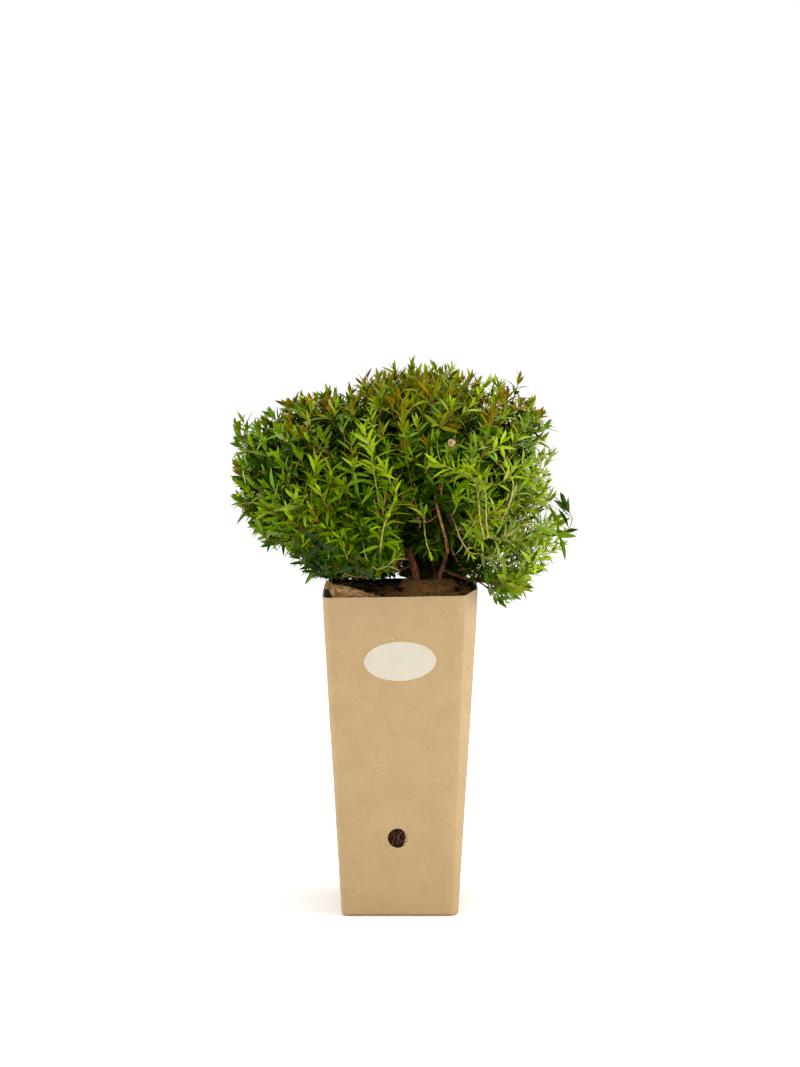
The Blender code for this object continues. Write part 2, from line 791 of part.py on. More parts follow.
def twig_targets(mass, planes, rng):
    """Places on the outer edge of a mass, spread round it by the golden angle."""
    start = rng.uniform(0.0, math.tau)
    middle = Vector(mass.centre)
    outward = (middle - CROWN_HEART).normalized()
    chosen = []
    for index in range(DIRECTION_TRIES):
        z = 1.0 - 2.0 * (index + 0.5) / DIRECTION_TRIES
        angle = start + index * GOLDEN_ANGLE
        flat = math.sqrt(1.0 - z * z)
        direction = Vector((flat * math.cos(angle), flat * math.sin(angle), z))
        distance = exit_along(mass, planes, direction)
        if direction.dot(outward) > INWARD_LIMIT and distance > SHORTEST_EXIT:
            chosen.append(middle + direction * distance)
    stride = max(len(chosen) / MASS_TWIGS, 1.0)
    return [chosen[int(index * stride)] for index in range(min(MASS_TWIGS, len(chosen)))]


def twig_path(start, end):
    """Points of a twig that goes outward first and turns up to its end."""
    span = end - start
    sag = Vector((0.0, 0.0, -span.length * TWIG_SAG))
    points = []
    for index in range(TWIG_POINTS):
        share = index / (TWIG_POINTS - 1)
        points.append(start + span * share + sag * math.sin(math.pi * share))
    return points


def twig_fits(mass, planes, limbs, points):
    """Whether a twig keeps to its mass's cell and clear of the limbs."""
    if not all(in_cell(mass, planes, point, TWIG_RADIUS) for point in points):
        return False
    samples = [a.lerp(b, share) for a, b in zip(points, points[1:]) for share in (0.0, 0.5, 1.0)]
    clear = TWIG_RADIUS + LIMB_CLEARANCE
    return all(limb_distance(sample, limbs) > clear for sample in samples)


def grow_mass(mass, limbs):
    """The stem, twigs and leaves of a mass, as paths with radii and as leaf frames."""
    rng = random.Random(mass.name)
    planes = cell_planes(mass)
    close = near_limbs(mass, limbs)
    centre = Vector(mass.centre)
    bough_points, bough_radii = limbs[bough_name(mass)]
    approach = (bough_points[-1] - bough_points[-2]).normalized()
    foot = bough_points[-1] + approach * GAP
    top = centre + mass_approach(mass) * MASS_STEM * MASS_STEM_RISE
    stem = [foot, foot + approach * MASS_STEM * MASS_STEM_ENTRY, centre, top]
    tubes = [(stem, [bough_radii[-1], MASS_STEM_RADIUS, MASS_STEM_RADIUS, TWIG_TIP_RADIUS])]
    leaves = []
    targets = [Vector(lead) for lead in mass.leads]
    targets.extend(twig_targets(mass, planes, rng))
    for index, target in enumerate(targets):
        start = stem[1].lerp(top, mix(*TWIG_ROOTS, (index * GOLDEN_SHARE) % 1.0))
        outward = (target - start).normalized()
        end = target - outward * (LEAF_LENGTH - LEAF_SINK)
        points = twig_path(start, end)
        if (end - start).length < SHORTEST_TWIG or not twig_fits(mass, planes, close, points):
            continue
        tubes.append((points, taper(TWIG_RADIUS, TWIG_TIP_RADIUS, len(points))))
        add_twig_leaves(mass, planes, close, leaves, points, target, rng)
    return tubes, leaves


def add_twig_leaves(mass, planes, limbs, leaves, points, target, rng):
    """Add a leaf at a twig's tip and crossed pairs of leaves along it."""
    limit = max(1.0, crown_level(target) + LEAD_ALLOWANCE)
    direction = (target - points[-1]).normalized()
    turn = rng.uniform(0.0, math.pi)
    base = points[-1] - direction * LEAF_SINK
    add_leaf(mass, planes, limbs, leaves, limit, base, direction, across(direction, turn))
    for place in LEAF_PAIR_PLACES:
        point, along, index = path_point(points, place)
        turn += math.pi / 2.0
        for side in (0.0, math.pi):
            aside = across(along, turn + side)
            direction = (along * math.cos(LEAF_SPREAD) + aside * math.sin(LEAF_SPREAD)).normalized()
            normal = (along - direction * along.dot(direction)).normalized()
            base = point - direction * LEAF_SINK
            add_leaf(mass, planes, limbs, leaves, limit, base, direction, normal)


def across(direction, turn):
    """A unit vector square to a direction, turned about it."""
    first = direction.cross(Vector((0.0, 0.0, 1.0)))
    if first.length < UPRIGHT_LIMIT:
        first = Vector((1.0, 0.0, 0.0))
    first.normalize()
    second = direction.cross(first)
    return first * math.cos(turn) + second * math.sin(turn)


def limb_samples(limbs, centre):
    """Points along limbs, measured from a mass's middle, with the limb's radius at each."""
    samples = []
    for points, radii in limbs:
        for start, end, radius in zip(points, points[1:], radii):
            count = math.ceil((end - start).length / CORE_STEP)
            for index in range(count + 1):
                samples.append((start.lerp(end, index / count) - centre, radius))
    return samples


def core_mesh(mass, limbs):
    """A small rounded core inside a dense mass, drawn in from the planes and the limbs."""
    work = bmesh.new()
    bmesh.ops.create_icosphere(work, subdivisions=CORE_DIVISIONS, radius=1.0)
    planes = cell_planes(mass)
    rng = random.Random(mass.name + " core")
    centre = Vector(mass.centre)
    bark = limb_samples(near_limbs(mass, limbs), centre)
    for vertex in work.verts:
        direction = vertex.co.normalized()
        outside = crown_exit(centre, direction) * mass.core
        inside = room_along(planes, direction) * mass.core * CORE_CELL_FULLNESS
        distance = min(outside, inside) * rng.uniform(*CORE_UNEVENNESS)
        for offset, radius in bark:
            if offset.angle(direction) < CORE_FACE_ANGLE:
                distance = min(distance, offset.length - radius - CORE_LIMB_CLEARANCE)
        vertex.co = centre + direction * max(distance, CORE_SMALLEST)
    bmesh.ops.recalc_face_normals(work, faces=work.faces)
    mesh = bpy.data.meshes.new(mass.name)
    work.to_mesh(mesh)
    work.free()
    return mesh


def twig_meshes(tubes, profile, collection):
    """Closed three-sided meshes of the tubes, made from curves with that profile."""
    curves = []
    for points, radii in tubes:
        curve = tube_curve("twig", points, radii)
        curve.bevel_mode = "OBJECT"
        curve.bevel_object = profile
        curves.append(add_object("twig", curve, collection))
    depsgraph = bpy.context.evaluated_depsgraph_get()
    meshes = []
    for thing in curves:
        mesh = bpy.data.meshes.new_from_object(thing.evaluated_get(depsgraph))
        work = bmesh.new()
        work.from_mesh(mesh)
        bmesh.ops.remove_doubles(work, verts=work.verts, dist=WELD)
        bmesh.ops.recalc_face_normals(work, faces=work.faces)
        work.to_mesh(mesh)
        work.free()
        meshes.append(mesh)
    for thing in curves:
        curve = thing.data
        bpy.data.objects.remove(thing)
        bpy.data.curves.remove(curve)
    return meshes


def fuse(body, extras):
    """Join a collection's meshes to an object and remove them."""
    union = body.modifiers.new("Fuse", "BOOLEAN")
    union.operation = "UNION"
    union.operand_type = "COLLECTION"
    union.collection = extras
    union.solver = "EXACT"
    with bpy.context.temp_override(object=body, active_object=body):
        bpy.ops.object.modifier_apply(modifier=union.name)
    for piece in list(extras.objects):
        mesh = piece.data
        bpy.data.objects.remove(piece)
        bpy.data.meshes.remove(mesh)


def keep_main_shell(mesh):
    """Keep a mesh's largest closed shell, which fills sealed hollows and drops scraps."""
    work = bmesh.new()
    work.from_mesh(mesh)
    unseen = set(work.verts)
    shells = []
    while unseen:
        front = [unseen.pop()]
        shell = set(front)
        while front:
            vertex = front.pop()
            for edge in vertex.link_edges:
                other = edge.other_vert(vertex)
                if other not in shell:
                    shell.add(other)
                    unseen.discard(other)
                    front.append(other)
        shells.append(shell)
    main = max(shells, key=len)
    loose = [vertex for vertex in work.verts if vertex not in main]
    bmesh.ops.delete(work, geom=loose, context="VERTS")
    work.to_mesh(mesh)
    work.free()


def build_mass(mass, limbs, profile, parts, scraps, root):
    """A foliage mass: its stem, twigs, leaves and any core as one closed body."""
    tubes, leaves = grow_mass(mass, limbs)
    meshes = twig_meshes(tubes, profile, scraps)
    meshes.extend(leaf_mesh(*leaf) for leaf in leaves)
    meshes.append(core_mesh(mass, limbs))
    body_mesh = meshes[0]
    body_mesh.name = mass.name
    body = add_object(mass.name, body_mesh, parts, root)
    for mesh in meshes[1:]:
        add_object("piece", mesh, scraps)
    fuse(body, scraps)
    keep_main_shell(body.data)
    share = ease((mass.centre[2] - LOW_LEAF_Z) / (TOP_LEAF_Z - LOW_LEAF_Z))
    colour = tuple(mix(low, top, share) for low, top in zip(LOW_LEAF_COLOUR, TOP_LEAF_COLOUR))
    finish(body, colour, 0.5)


def main():
    """Build the whole plant and its pot."""
    clear_scene()
    parts = new_collection("potted_myrtle")
    cutters = new_collection("cutters")
    scraps = new_collection("fusing")
    root = bpy.data.objects.new("plant_root", None)
    parts.objects.link(root)
    build_card_pot(parts, cutters, root)
    build_liner(parts, cutters, root)
    build_root_ball(parts, root)
    build_coir_mat(parts, root)
    build_label(parts, root)
    limbs = plan_limbs()
    for name, limb in limbs.items():
        build_limb(name, limb, parts, root)
    profile = twig_profile(cutters)
    for mass in MASSES:
        build_mass(mass, limbs, profile, parts, scraps, root)
    bpy.data.collections.remove(scraps)


main()
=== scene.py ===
import random
from math import ceil, cos, exp, hypot, pi, radians, sin, sqrt, tau

import bmesh
import bpy
import numpy as np
from mathutils import Matrix, Vector, noise
from mathutils.geometry import interpolate_bezier


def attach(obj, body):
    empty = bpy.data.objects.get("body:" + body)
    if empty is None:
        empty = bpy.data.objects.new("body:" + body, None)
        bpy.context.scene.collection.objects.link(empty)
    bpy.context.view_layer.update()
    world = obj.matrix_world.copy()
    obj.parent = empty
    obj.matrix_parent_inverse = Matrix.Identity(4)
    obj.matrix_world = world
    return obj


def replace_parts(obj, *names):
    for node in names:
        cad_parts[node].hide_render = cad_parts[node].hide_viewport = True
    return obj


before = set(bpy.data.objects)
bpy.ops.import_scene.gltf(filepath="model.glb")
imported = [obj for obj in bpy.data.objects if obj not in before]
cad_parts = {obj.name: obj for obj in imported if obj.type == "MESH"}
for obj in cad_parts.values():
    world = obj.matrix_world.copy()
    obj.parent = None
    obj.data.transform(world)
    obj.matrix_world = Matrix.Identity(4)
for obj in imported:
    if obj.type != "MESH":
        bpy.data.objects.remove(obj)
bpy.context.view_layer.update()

# The pot, its liner, mat and label: the part's sizes, a few of them fitted more closely here
GAP = 0.0003
POT_HALF = 0.1395 / 2
POT_BASE_HALF = 0.107 / 2
POT_HEIGHT = 0.298
CARD = 0.0015
POT_BULGE = 0.0022
BULGE_REACH = 0.75
RIM_TILT = 0.0011
RIM_CORNER_RISE = 0.005
RIM_CORNER_START = 0.0575
RIM_CORNER_RUN = 0.0125
RIM_CORNER_DEPTH = 2.4
RIM_WEAR = 0.00035
WALL_RINGS = 44
DENT = 0.00022
DENT_FREE_FOOT = 0.05
BASE_ROUND = 0.0036
FOOT_STEPS = 5
CORNER_RADII = (0.008, 0.007, 0.0055, 0.0115)
CORNER_FLATNESS = (0.2, 0.2, 0.6, 0.9)
FOOT_CORNERS = 0.5
HOLE_RADIUS = 0.0092
HOLE_X = -0.002
HOLE_Z = 0.0743
HOLE_DEPTH = 0.014
PLY_SIDES = 90
PLY_SHIFT = 0.0025
PLY_RAGGED = 0.0005
LINER = 0.0008
LINER_RISE = 0.0006
LINER_FRONT_RISE = -0.0014
LINER_CORNER_RISES = (0.002, 0.003, 0.018, 0.003)
LINER_CORNER_SPREAD = 0.0056
LINER_RINGS = 14
LINER_DEPTH = 0.03
LINER_WEAR = 0.0007
LINER_FOLDS = 0.0009
LINER_CRINKLES = 0.0004
LINER_FREE_FOLDS = 0.0012
MAT = 0.0035
MAT_TOP = 0.2955
MAT_RINGS = 44
MAT_INSET = CARD + LINER + 2 * GAP + 0.0003
MAT_HALF = POT_HALF - MAT_INSET
SKIRT_Z = 0.2915
MOUND_TOP = 0.3035
MOUND_X = 0.0265
MOUND_Y = 0.004
MOUND_HALF_X = 0.022
MOUND_HALF_Y = 0.027
MOUND_SLOPE = 0.4
CURL_HEIGHT = 0.0125
CURL_REACH = 0.019
CURL_FRONT_END = -0.006
CURL_SIDE_END = 0.02
CURL_RAMP = 0.052
LABEL_WIDTH = 0.065
LABEL_HEIGHT = 0.036
LABEL_THICKNESS = 0.0003
LABEL_Z = 0.2393
LABEL_TURN = radians(2)
LABEL_SIDES = 96

# Coir fibres and compost
MAT_FIBRES = 1500
MOUND_FIBRES = 0.94
LIP_FIBRES = 1700
LIP_FUZZ = 420
FIBRE_RADIUS = (0.0001, 0.0002)
FIBRE_TAPER = (0.5, 0.9, 1, 1, 0.9, 0.8, 0.4)
FIBRE_LENGTH = (0.006, 0.02)
LIP_END_X = -0.008
LIP_END_Y = 0.016
LIP_CORNER = 0.006
LIP_TUFT = 0.0055
LIP_TUFT_SPREAD = 0.0055
CRUMBS_ON_TOP = 520
CRUMBS_IN_HOLE = 190
ROOTS_IN_HOLE = 5
ROOT_STEP = 0.0019

# The crown and its limbs. The part's source has most of these values. The crown's room over the
# rim and in front, its left shoulder and its low right tip are fitted to the photograph here.
CROWN_HEART = Vector((0, 0, 0.375))
CROWN_LOW = np.array((-0.153, -0.147, 0.2765))
CROWN_HIGH = np.array((0.159, 0.147, 0.513))
POT_CLEARANCE = 0.004
RIM_CLEAR_Z = 0.302
FRONT_CLEAR_Z = 0.3175
FRONT_CLEAR_X = 0.016
FRONT_CLEAR_Y = -0.022
SHOULDER_Z = 0.4995
SHOULDER_SLOPE = 0.265
SHOULDER_END = -0.03
SHOULDER_RIPPLE = 0.006
SHOULDER_WAVES = (260, 190)
LOW_TIP_START = 0.07
LOW_TIP_X = 0.0935
LOW_TIP_Z = 0.281
LOW_TIP_LEFT = 1.1
LOW_TIP_RIGHT = 0.66
MASS_STEM = 0.017
MASS_STEM_ENTRY = 0.4
MASS_STEM_RISE = 0.6
STEM_FLARE = 1.5
STEM_FLARE_HEIGHT = 0.006
STEM_COLLAR_HEIGHT = 0.002
STEM_COLLAR_FLARE = 1.175
LIMB_POINTS = 5
LIMB_RUN = 0.0018
BOUGH_TIP_RADIUS = 0.0012
ENTRY_RISE = 0.7
ENTRY_SPAN = 0.055
BARK_SEED = 5
GOLDEN_ANGLE = pi * (3 - sqrt(5))

# Stems: name, foot, tip, direction at the tip, radius at foot and tip, bow
STEMS = (
    ("main_stem", (0.0145, -0.003), (0.0075, -0.004, 0.337), (-0.2, 0, 1), 0.0037, 0.0029,
     (-0.001, 0, 0)),
    ("right_stem", (0.037, -0.004), (0.034, -0.01, 0.369), (-0.22, -0.1, 1), 0.002, 0.0016,
     (0.0065, 0, 0)),
    ("left_stem", (0.011, 0.014), (-0.008, 0.021, 0.34), (-0.6, 0.1, 1), 0.0027, 0.0021,
     (0.003, 0, 0)),
    ("back_stem", (0.032, 0.017), (0.036, 0.031, 0.35), (0.1, 0.3, 1), 0.0026, 0.002,
     (0.002, 0, 0)),
)
# Masses: name, the stem that carries it, how far along, middle, bough radius, shoots tried,
# leading tips
MASSES = (
    ("top_middle", "main_stem", 1, (0.022, 0.003, 0.458), 0.002, 84,
     ((0.011, -0.01, 0.5128), (0.042, -0.008, 0.5085))),
    ("top_front", "main_stem", 0.94, (0.014, -0.06, 0.44), 0.0018, 76,
     ((0.024, -0.062, 0.504), (-0.02, -0.06, 0.499))),
    ("top_left", "main_stem", 0.88, (-0.056, -0.008, 0.438), 0.0018, 84,
     ((-0.033, 0, 0.506), (-0.098, -0.02, 0.48))),
    ("front_left", "main_stem", 0.7, (-0.064, -0.084, 0.394), 0.0018, 64,
     ((-0.1, -0.085, 0.458),)),
    ("low_front", "main_stem", 0.52, (-0.028, -0.084, 0.34), 0.0014, 34,
     ((-0.018, -0.126, 0.312),)),
    ("front_right", "right_stem", 1, (0.052, -0.086, 0.394), 0.0014, 46, ()),
    ("top_right", "right_stem", 0.84, (0.084, -0.004, 0.436), 0.0014, 48,
     ((0.112, -0.01, 0.502), (0.131, 0.01, 0.466))),
    ("right", "right_stem", 0.62, (0.11, -0.014, 0.38), 0.0014, 22,
     ((0.152, -0.035, 0.36), (0.154, 0, 0.343))),
    ("low_right", "right_stem", 0.18, (0.096, -0.032, 0.322), 0.0015, 14,
     ((0.093, -0.05, 0.285), (0.118, -0.03, 0.304))),
    ("left", "left_stem", 1, (-0.11, -0.004, 0.4), 0.0017, 42,
     ((-0.1525, -0.03, 0.459), (-0.1525, -0.01, 0.418))),
    ("low_left", "left_stem", 0.8, (-0.08, -0.012, 0.345), 0.0014, 34,
     ((-0.12, -0.02, 0.336), (-0.09, -0.04, 0.308))),
    ("back_left", "left_stem", 0.6, (-0.062, 0.084, 0.394), 0.0017, 56, ()),
    ("top_back", "back_stem", 1, (0.018, 0.066, 0.44), 0.0018, 80,
     ((0.03, 0.06, 0.504), (-0.035, 0.075, 0.494))),
    ("back_right", "back_stem", 0.78, (0.072, 0.082, 0.392), 0.0017, 44, ()),
    ("low_back", "back_stem", 0.56, (0.004, 0.086, 0.342), 0.0014, 64, ()),
)
# Rounded forms, as middle and reach: the crown's outline and its window
LOBE_SQUARENESS = 2.4
LOBES = (
    ((0.02, 0, 0.415), (0.125, 0.145, 0.09)),
    ((-0.074, -0.004, 0.409), (0.079, 0.122, 0.073)),
    ((-0.07, -0.008, 0.346), (0.053, 0.084, 0.04)),
    ((0.112, -0.018, 0.366), (0.046, 0.088, 0.048)),
    ((0.093, -0.03, 0.326), (0.048, 0.064, 0.049)),
    ((-0.03, -0.078, 0.344), (0.048, 0.056, 0.038)),
    ((0, 0.076, 0.346), (0.078, 0.06, 0.04)),
)
# The window, and after it, only here, the places where the finer crown is more open
OPENINGS = (
    ((0.036, -0.07, 0.318), (0.042, 0.08, 0.04)),
    ((0.03, -0.1, 0.352), (0.03, 0.07, 0.034)),
    ((0.15, -0.03, 0.28), (0.046, 0.11, 0.036)),
    ((0.176, -0.02, 0.408), (0.04, 0.13, 0.05)),
    ((0, 0.07, 0.308), (0.01, 0.11, 0.018)),
    ((0.001, -0.09, 0.322), (0.009, 0.06, 0.012)),
    ((-0.126, 0, 0.3), (0.046, 0.14, 0.042)),
)
# The parts of the crown that lie in its own shade, where leaves are given painted shade colours
SHADE_LOBES = (
    ((0.015, 0, 0.402), (0.115, 0.135, 0.078)),
    ((-0.066, 0, 0.402), (0.079, 0.116, 0.071)),
    ((0, 0.015, 0.345), (0.085, 0.105, 0.05)),
)

# Finer growth than the solids': twigs, side shoots and leaves of life size
TWIG_SHORTEST = 0.018
TWIG_RADIUS = 0.0011
TWIG_TIP_RADIUS = 0.0005
TWIG_POINTS = 8
TWIG_REACH = (0.66, 0.93)
LONG_SHOOTS = 0.22
LONG_REACH = (0.95, 1.04)
INNER_TWIG_REACH = (0.7, 0.97)
SEAM_OVERLAP = 0.014
REACH_STEP = 0.002
REACH_MOST = 0.17
SHOOT_SPAN = (0.055, 0.1)
ARCH = 0.36
GROWTH_ROOT = Vector((0.015, 0, 0.3))
UPRIGHT = 1.05
UPRIGHT_Z = 0.365
HANG = -0.3
HANG_Z = 0.29
SWAY = 0.14
PALE_SHOOTS_X = 0.04
SIDE_SHOOT_PLACES = (0.28, 0.46, 0.64)
SIDE_SHOOT_GAPS = 0.18
SIDE_SHOOT_LENGTH = (0.026, 0.048)
SIDE_SHOOT_LEVEL = 0.95
SIDE_SHOOT_TRIALS = 3
SIDE_SHOOT_CUT = 0.7
SIDE_SHOOT_UPTURN = 0.9
SIDE_SHOOT_FIRST_LEAVES = 0.22
SIDE_SHOOT_RADIUS = 0.0006
SIDE_SHOOT_TIP_RADIUS = 0.00035
SIDE_SHOOT_POINTS = 5
SIDE_SHOOT_SPREAD = radians(42)
BARE_SHARE = 0.65
BARE_Z = 0.325
# Shares of a limb's length where shoots may start: on a mass's own limb and on any limb
OWN_LIMB_STARTS = [0.45 + 0.55 * (step / 16) for step in range(17)]
LIMB_STARTS = [step / 12 for step in range(1, 13)]

# Leaf size and breadth in the middle of the crown, and how they change to its sides and top and
# on the shoots that hang at the low right
LEAF_LENGTH = 0.0212
LEAF_WIDTH = 0.005
LEAF_NODE_SPACING = 0.0074
LEAF_TIP_SPACING = 0.005
FIRST_LEAVES = (0.26, 0.4)
LAST_LEAVES = 0.985
MIDDLE_LEAVES = (0.88, 0.78)
LEFT_LEAVES = (1.16, 1.04)
RIGHT_LEAVES = (0.84, 0.84)
SIDE_LEAVES_START = 0.045
SIDE_LEAVES_RUN = 0.07
TOP_LEAVES = (1.02, 1.14)
TOP_LEAVES_START = 0.43
TOP_LEAVES_RUN = 0.05
HANGING_LEAVES = (1.32, 0.96)
HANGING_LEAVES_X = 0.06
HANGING_LEAVES_Z = 0.34
HANGING_LEAVES_RUN = 0.02
LEAF_STATIONS = (0.12, 0.36, 0.62, 0.85)
LEAF_WIDTHS = (0.34, 0.96, 0.84, 0.42)
LEAF_FOLD = 0.34
LEAF_CURL = (0.08, 0.42)
LEAF_SPREAD = (68, 28)
YOUNG_LEAF_SIZE = 0.74
END_LEAF_SIZE = (0.45, 0.76)
END_LEAF_LEAN = 0.26
OLD_LEAVES = 0.22
MAIN_LEAVES = 0.8
# How far out leaf tips may reach, as crown levels, and the lengths tried for a leaf
LEAF_LEVEL = 1.13
FREE_LEVEL = 9
LEAF_OVERSHOOT = 0.003
LEAF_TRIALS = (1, 0.85, 0.7, 0.55)
# Crown levels below which a leaf takes painted shade: the darkest colours, then a half shade of
# deep green or its spray's old colour
SHADE_LEVEL = 0.74
PAINTED_HALF_SHADE_LEVEL = 0.88
PIECE_TRIANGLES = 190000

# Leaf colours as sRGB, and how strongly the brighter ones shine
LEAF_COLOURS = {
    "lime": (142, 166, 6),
    "fresh": (99, 130, 0),
    "mid": (66, 97, 0),
    "deep": (42, 69, 0),
    "shade": (30, 43, 4),
    "blue": (34, 58, 18),
    "pale": (128, 150, 52),
    "olive": (116, 124, 0),
    "bronze": (124, 108, 0),
    "russet": (132, 80, 8),
    "umber": (44, 36, 14),
}
LEAF_SHINE = dict(lime=0.16, fresh=0.14, pale=0.2, olive=0.08, mid=0.08, blue=0.12)
# Colours of a spray by the part of the crown it is in: shares of its main leaves, shares of its
# youngest ones where they differ, and its oldest ones. Beside the leaves' own tints, the darker
# sets of the foot and the heart and the low set's old leaves are painted shade, and the brighter
# sets at the right are painted light.
SPRAYS = {
    "top": (dict(olive=0.38, fresh=0.24, mid=0.26, lime=0.08, bronze=0.04),
            dict(bronze=0.26, russet=0.06, lime=0.2, olive=0.48), "mid"),
    # The brighter sets at the right: painted light
    "low right": (dict(lime=0.3, fresh=0.34, mid=0.12, deep=0.02, olive=0.12, pale=0.1), None,
                  "mid"),
    "right": (dict(lime=0.58, fresh=0.08, olive=0.14, pale=0.2), None, "fresh"),
    # The darker foot and heart sets, and the low set's old leaves: painted shade
    "foot": (dict(deep=0.38, mid=0.28, blue=0.2, shade=0.14), None, "shade"),
    "low": (dict(mid=0.32, deep=0.26, blue=0.14, fresh=0.16, lime=0.06, pale=0.06), None,
            dict(deep=0.6, blue=0.4)),
    "heart": (dict(mid=0.42, deep=0.26, fresh=0.25, lime=0.07),
              dict(fresh=0.52, lime=0.26, mid=0.22), "deep"),
    "round": (dict(fresh=0.34, lime=0.21, mid=0.25, olive=0.06, deep=0.06, pale=0.08),
              dict(lime=0.34, fresh=0.58, bronze=0.08), dict(mid=0.5, deep=0.5)),
}
# Painted shade: the colours of leaves deep in the crown
PAINTED_SHADE_LEAVES = dict(shade=0.62, deep=0.38)
RIGHT_SIDE = 0.07
RIGHT_TOP = 0.445

# Main shoots in front and at the sides: skin, bare share, colours, leaf size, breadth, spacing,
# and points in millimetres
MAIN_SHOOTS = (
    ("pale", 0, "fresh lime lime", 1.05, 0.8, 0.6,
     ((-16.6, -124, 350), (-14, -131, 367.5), (-7.8, -133, 383.2), (-3.5, -133, 395.5),
      (-8.7, -133, 406.8), (-13.1, -133, 416.4))),
    ("pale", 0.3, "mid fresh fresh", 0.8, 0.85, 1,
     ((-32.9, -105, 352.8), (-29.3, -114, 337.6), (-19.6, -117, 327.8), (-12.5, -117, 330.5),
      (-3.6, -113, 337.6))),
    ("pale", 0.45, "mid fresh fresh", 0.9, 0.9, 1,
     ((95.1, -102, 355.4), (100.4, -112, 362.5), (107.6, -113, 367.2), (115.7, -110, 367.9),
      (123.3, -102, 363.7))),
    ("pale", 0.4, "fresh deep deep", 1.2, 1.05, 1,
     ((122.5, -76, 360), (134.6, -60, 354.3), (146, -50, 353.4), (154.8, -40, 358.9),
      (156.6, -40, 367.1), (152.9, -40, 373.6))),
    ("pale", 0.66, "fresh lime lime", 0.95, 0.9, 0.85,
     ((73.2, -122, 358), (69.7, -132, 371), (68, -135, 388.5), (66.2, -136, 401.4),
      (61, -137, 412))),
    ("pale", 0.56, "fresh lime lime", 0.95, 0.9, 0.85,
     ((76.8, -120, 357.8), (75, -130, 370.6), (74.1, -133, 392.5), (71.5, -134, 405.5),
      (66.2, -135, 413.4))),
    ("pale", 0.5, "fresh lime lime", 0.85, 0.85, 1,
     ((91.3, -118, 376), (96.2, -122, 389), (98.5, -122, 403), (94.5, -122, 415),
      (90.5, -121, 427.5))),
    ("pale", 0.6, "fresh lime lime", 0.7, 0.8, 1,
     ((49.3, -108, 364.9), (52, -115, 356.9), (56.4, -118, 349), (61.7, -118, 341.9))),
    ("pale", 0.5, "mid fresh lime", 0.6, 0.8, 1,
     ((21.3, -98, 365.8), (22.1, -105, 356.9), (23.9, -106, 348), (26.6, -104, 340.8))),
    ("brown", 0.22, "mid olive bronze", 0.9, 0.85, 0.7,
     ((16.7, -95, 370), (10.5, -112, 400.5), (6.1, -118, 425.1), (3.5, -121, 453.1),
      (5.2, -120, 475))),
    ("brown", 0.3, "mid olive russet", 1, 0.95, 0.7,
     ((-76.5, -85, 420), (-80, -98, 437.6), (-81.8, -102, 450.1), (-78.2, -102, 465.2),
      (-78.1, -98, 478.5))),
    ("pale", 0.25, "fresh lime lime", 1.1, 0.95, 0.6,
     ((-18.4, -118, 386), (-21.8, -130, 410), (-25.3, -133, 431.8), (-29.6, -132, 444.9))),
    ("pale", 0.2, "fresh lime lime", 1.15, 1, 0.6,
     ((67.9, -128, 406.9), (57.4, -134, 412.1), (45.2, -136, 417.3), (34.8, -136, 421.7))),
    ("brown", 0.3, "mid fresh lime", 1.15, 1, 0.65,
     ((-72.2, -105, 370), (-77.4, -117, 391.4), (-73.8, -118, 417.9))),
    ("brown", 0.25, "mid fresh olive", 0.95, 1, 0.8,
     ((-124.5, -20, 419), (-133.6, -22, 432), (-139.5, -22, 443), (-142.5, -20, 451))),
)
MAIN_SHOOT_RADIUS = 0.00085
MAIN_SHOOT_LEAD = 0.012
MAIN_SHOOT_DEPTH = 0.05
MAIN_SHOOT_OUTWARD = 1.2
MAIN_SHOOT_LEAD_POINTS = 6
ROUTE_STEP = 0.004
# The right stem's bare fork, seen in the dark hollow
FORK_RADIUS = 0.0018
FORK_TIP_RADIUS = 0.001
FORK = ((43.4, -45, 335.9), (41.2, -64, 349), (38, -84, 361.7), (33.7, -96, 377.2),
        (31.4, -100, 388), (29.6, -92, 406))
# Short shoots round the stems' feet, whose dark leaves are painted shade: how many, the box of
# their tips and their colours
THICKETS = (
    (40, (-0.06, -0.012, 0.307), (-0.026, 0.068, 0.345), "deep deep mid"),
    (64, (-0.068, 0.04, 0.2998), (-0.026, 0.07, 0.309), "umber umber deep"),
    (46, (0.014, 0.026, 0.307), (0.072, 0.068, 0.35), "shade deep deep"),
    (30, (0.022, 0.024, 0.3035), (0.064, 0.06, 0.312), "umber shade umber"),
    (26, (-0.004, 0.012, 0.335), (0.062, 0.04, 0.376), "shade deep mid"),
    (14, (-0.002, -0.05, 0.352), (0.062, -0.012, 0.376), "deep deep mid"),
    (22, (0.028, -0.078, 0.346), (0.064, -0.052, 0.38), "deep shade deep"),
    (14, (0.006, 0.03, 0.306), (0.034, 0.066, 0.33), "umber umber shade"),
)
THICKET_SPAN = 0.026
THICKET_RADIUS = 0.0006
THICKET_LEAST = 0.008
THICKET_FIRST_LEAVES = 0.15
THICKET_LEAVES = (0.62, 0.85)
WITHERED_PLACE = Vector((0.0443, -0.139, 0.44))
WITHERED_RADIUS = 0.0034
WITHERED_RUFFLE = 0.16
WITHERED_HEADING = Vector((0.1, -0.8, 0.5)).normalized()
WITHERED_SHOOT_SPAN = 0.06
WITHERED_SHOOT_RADIUS = 0.0007

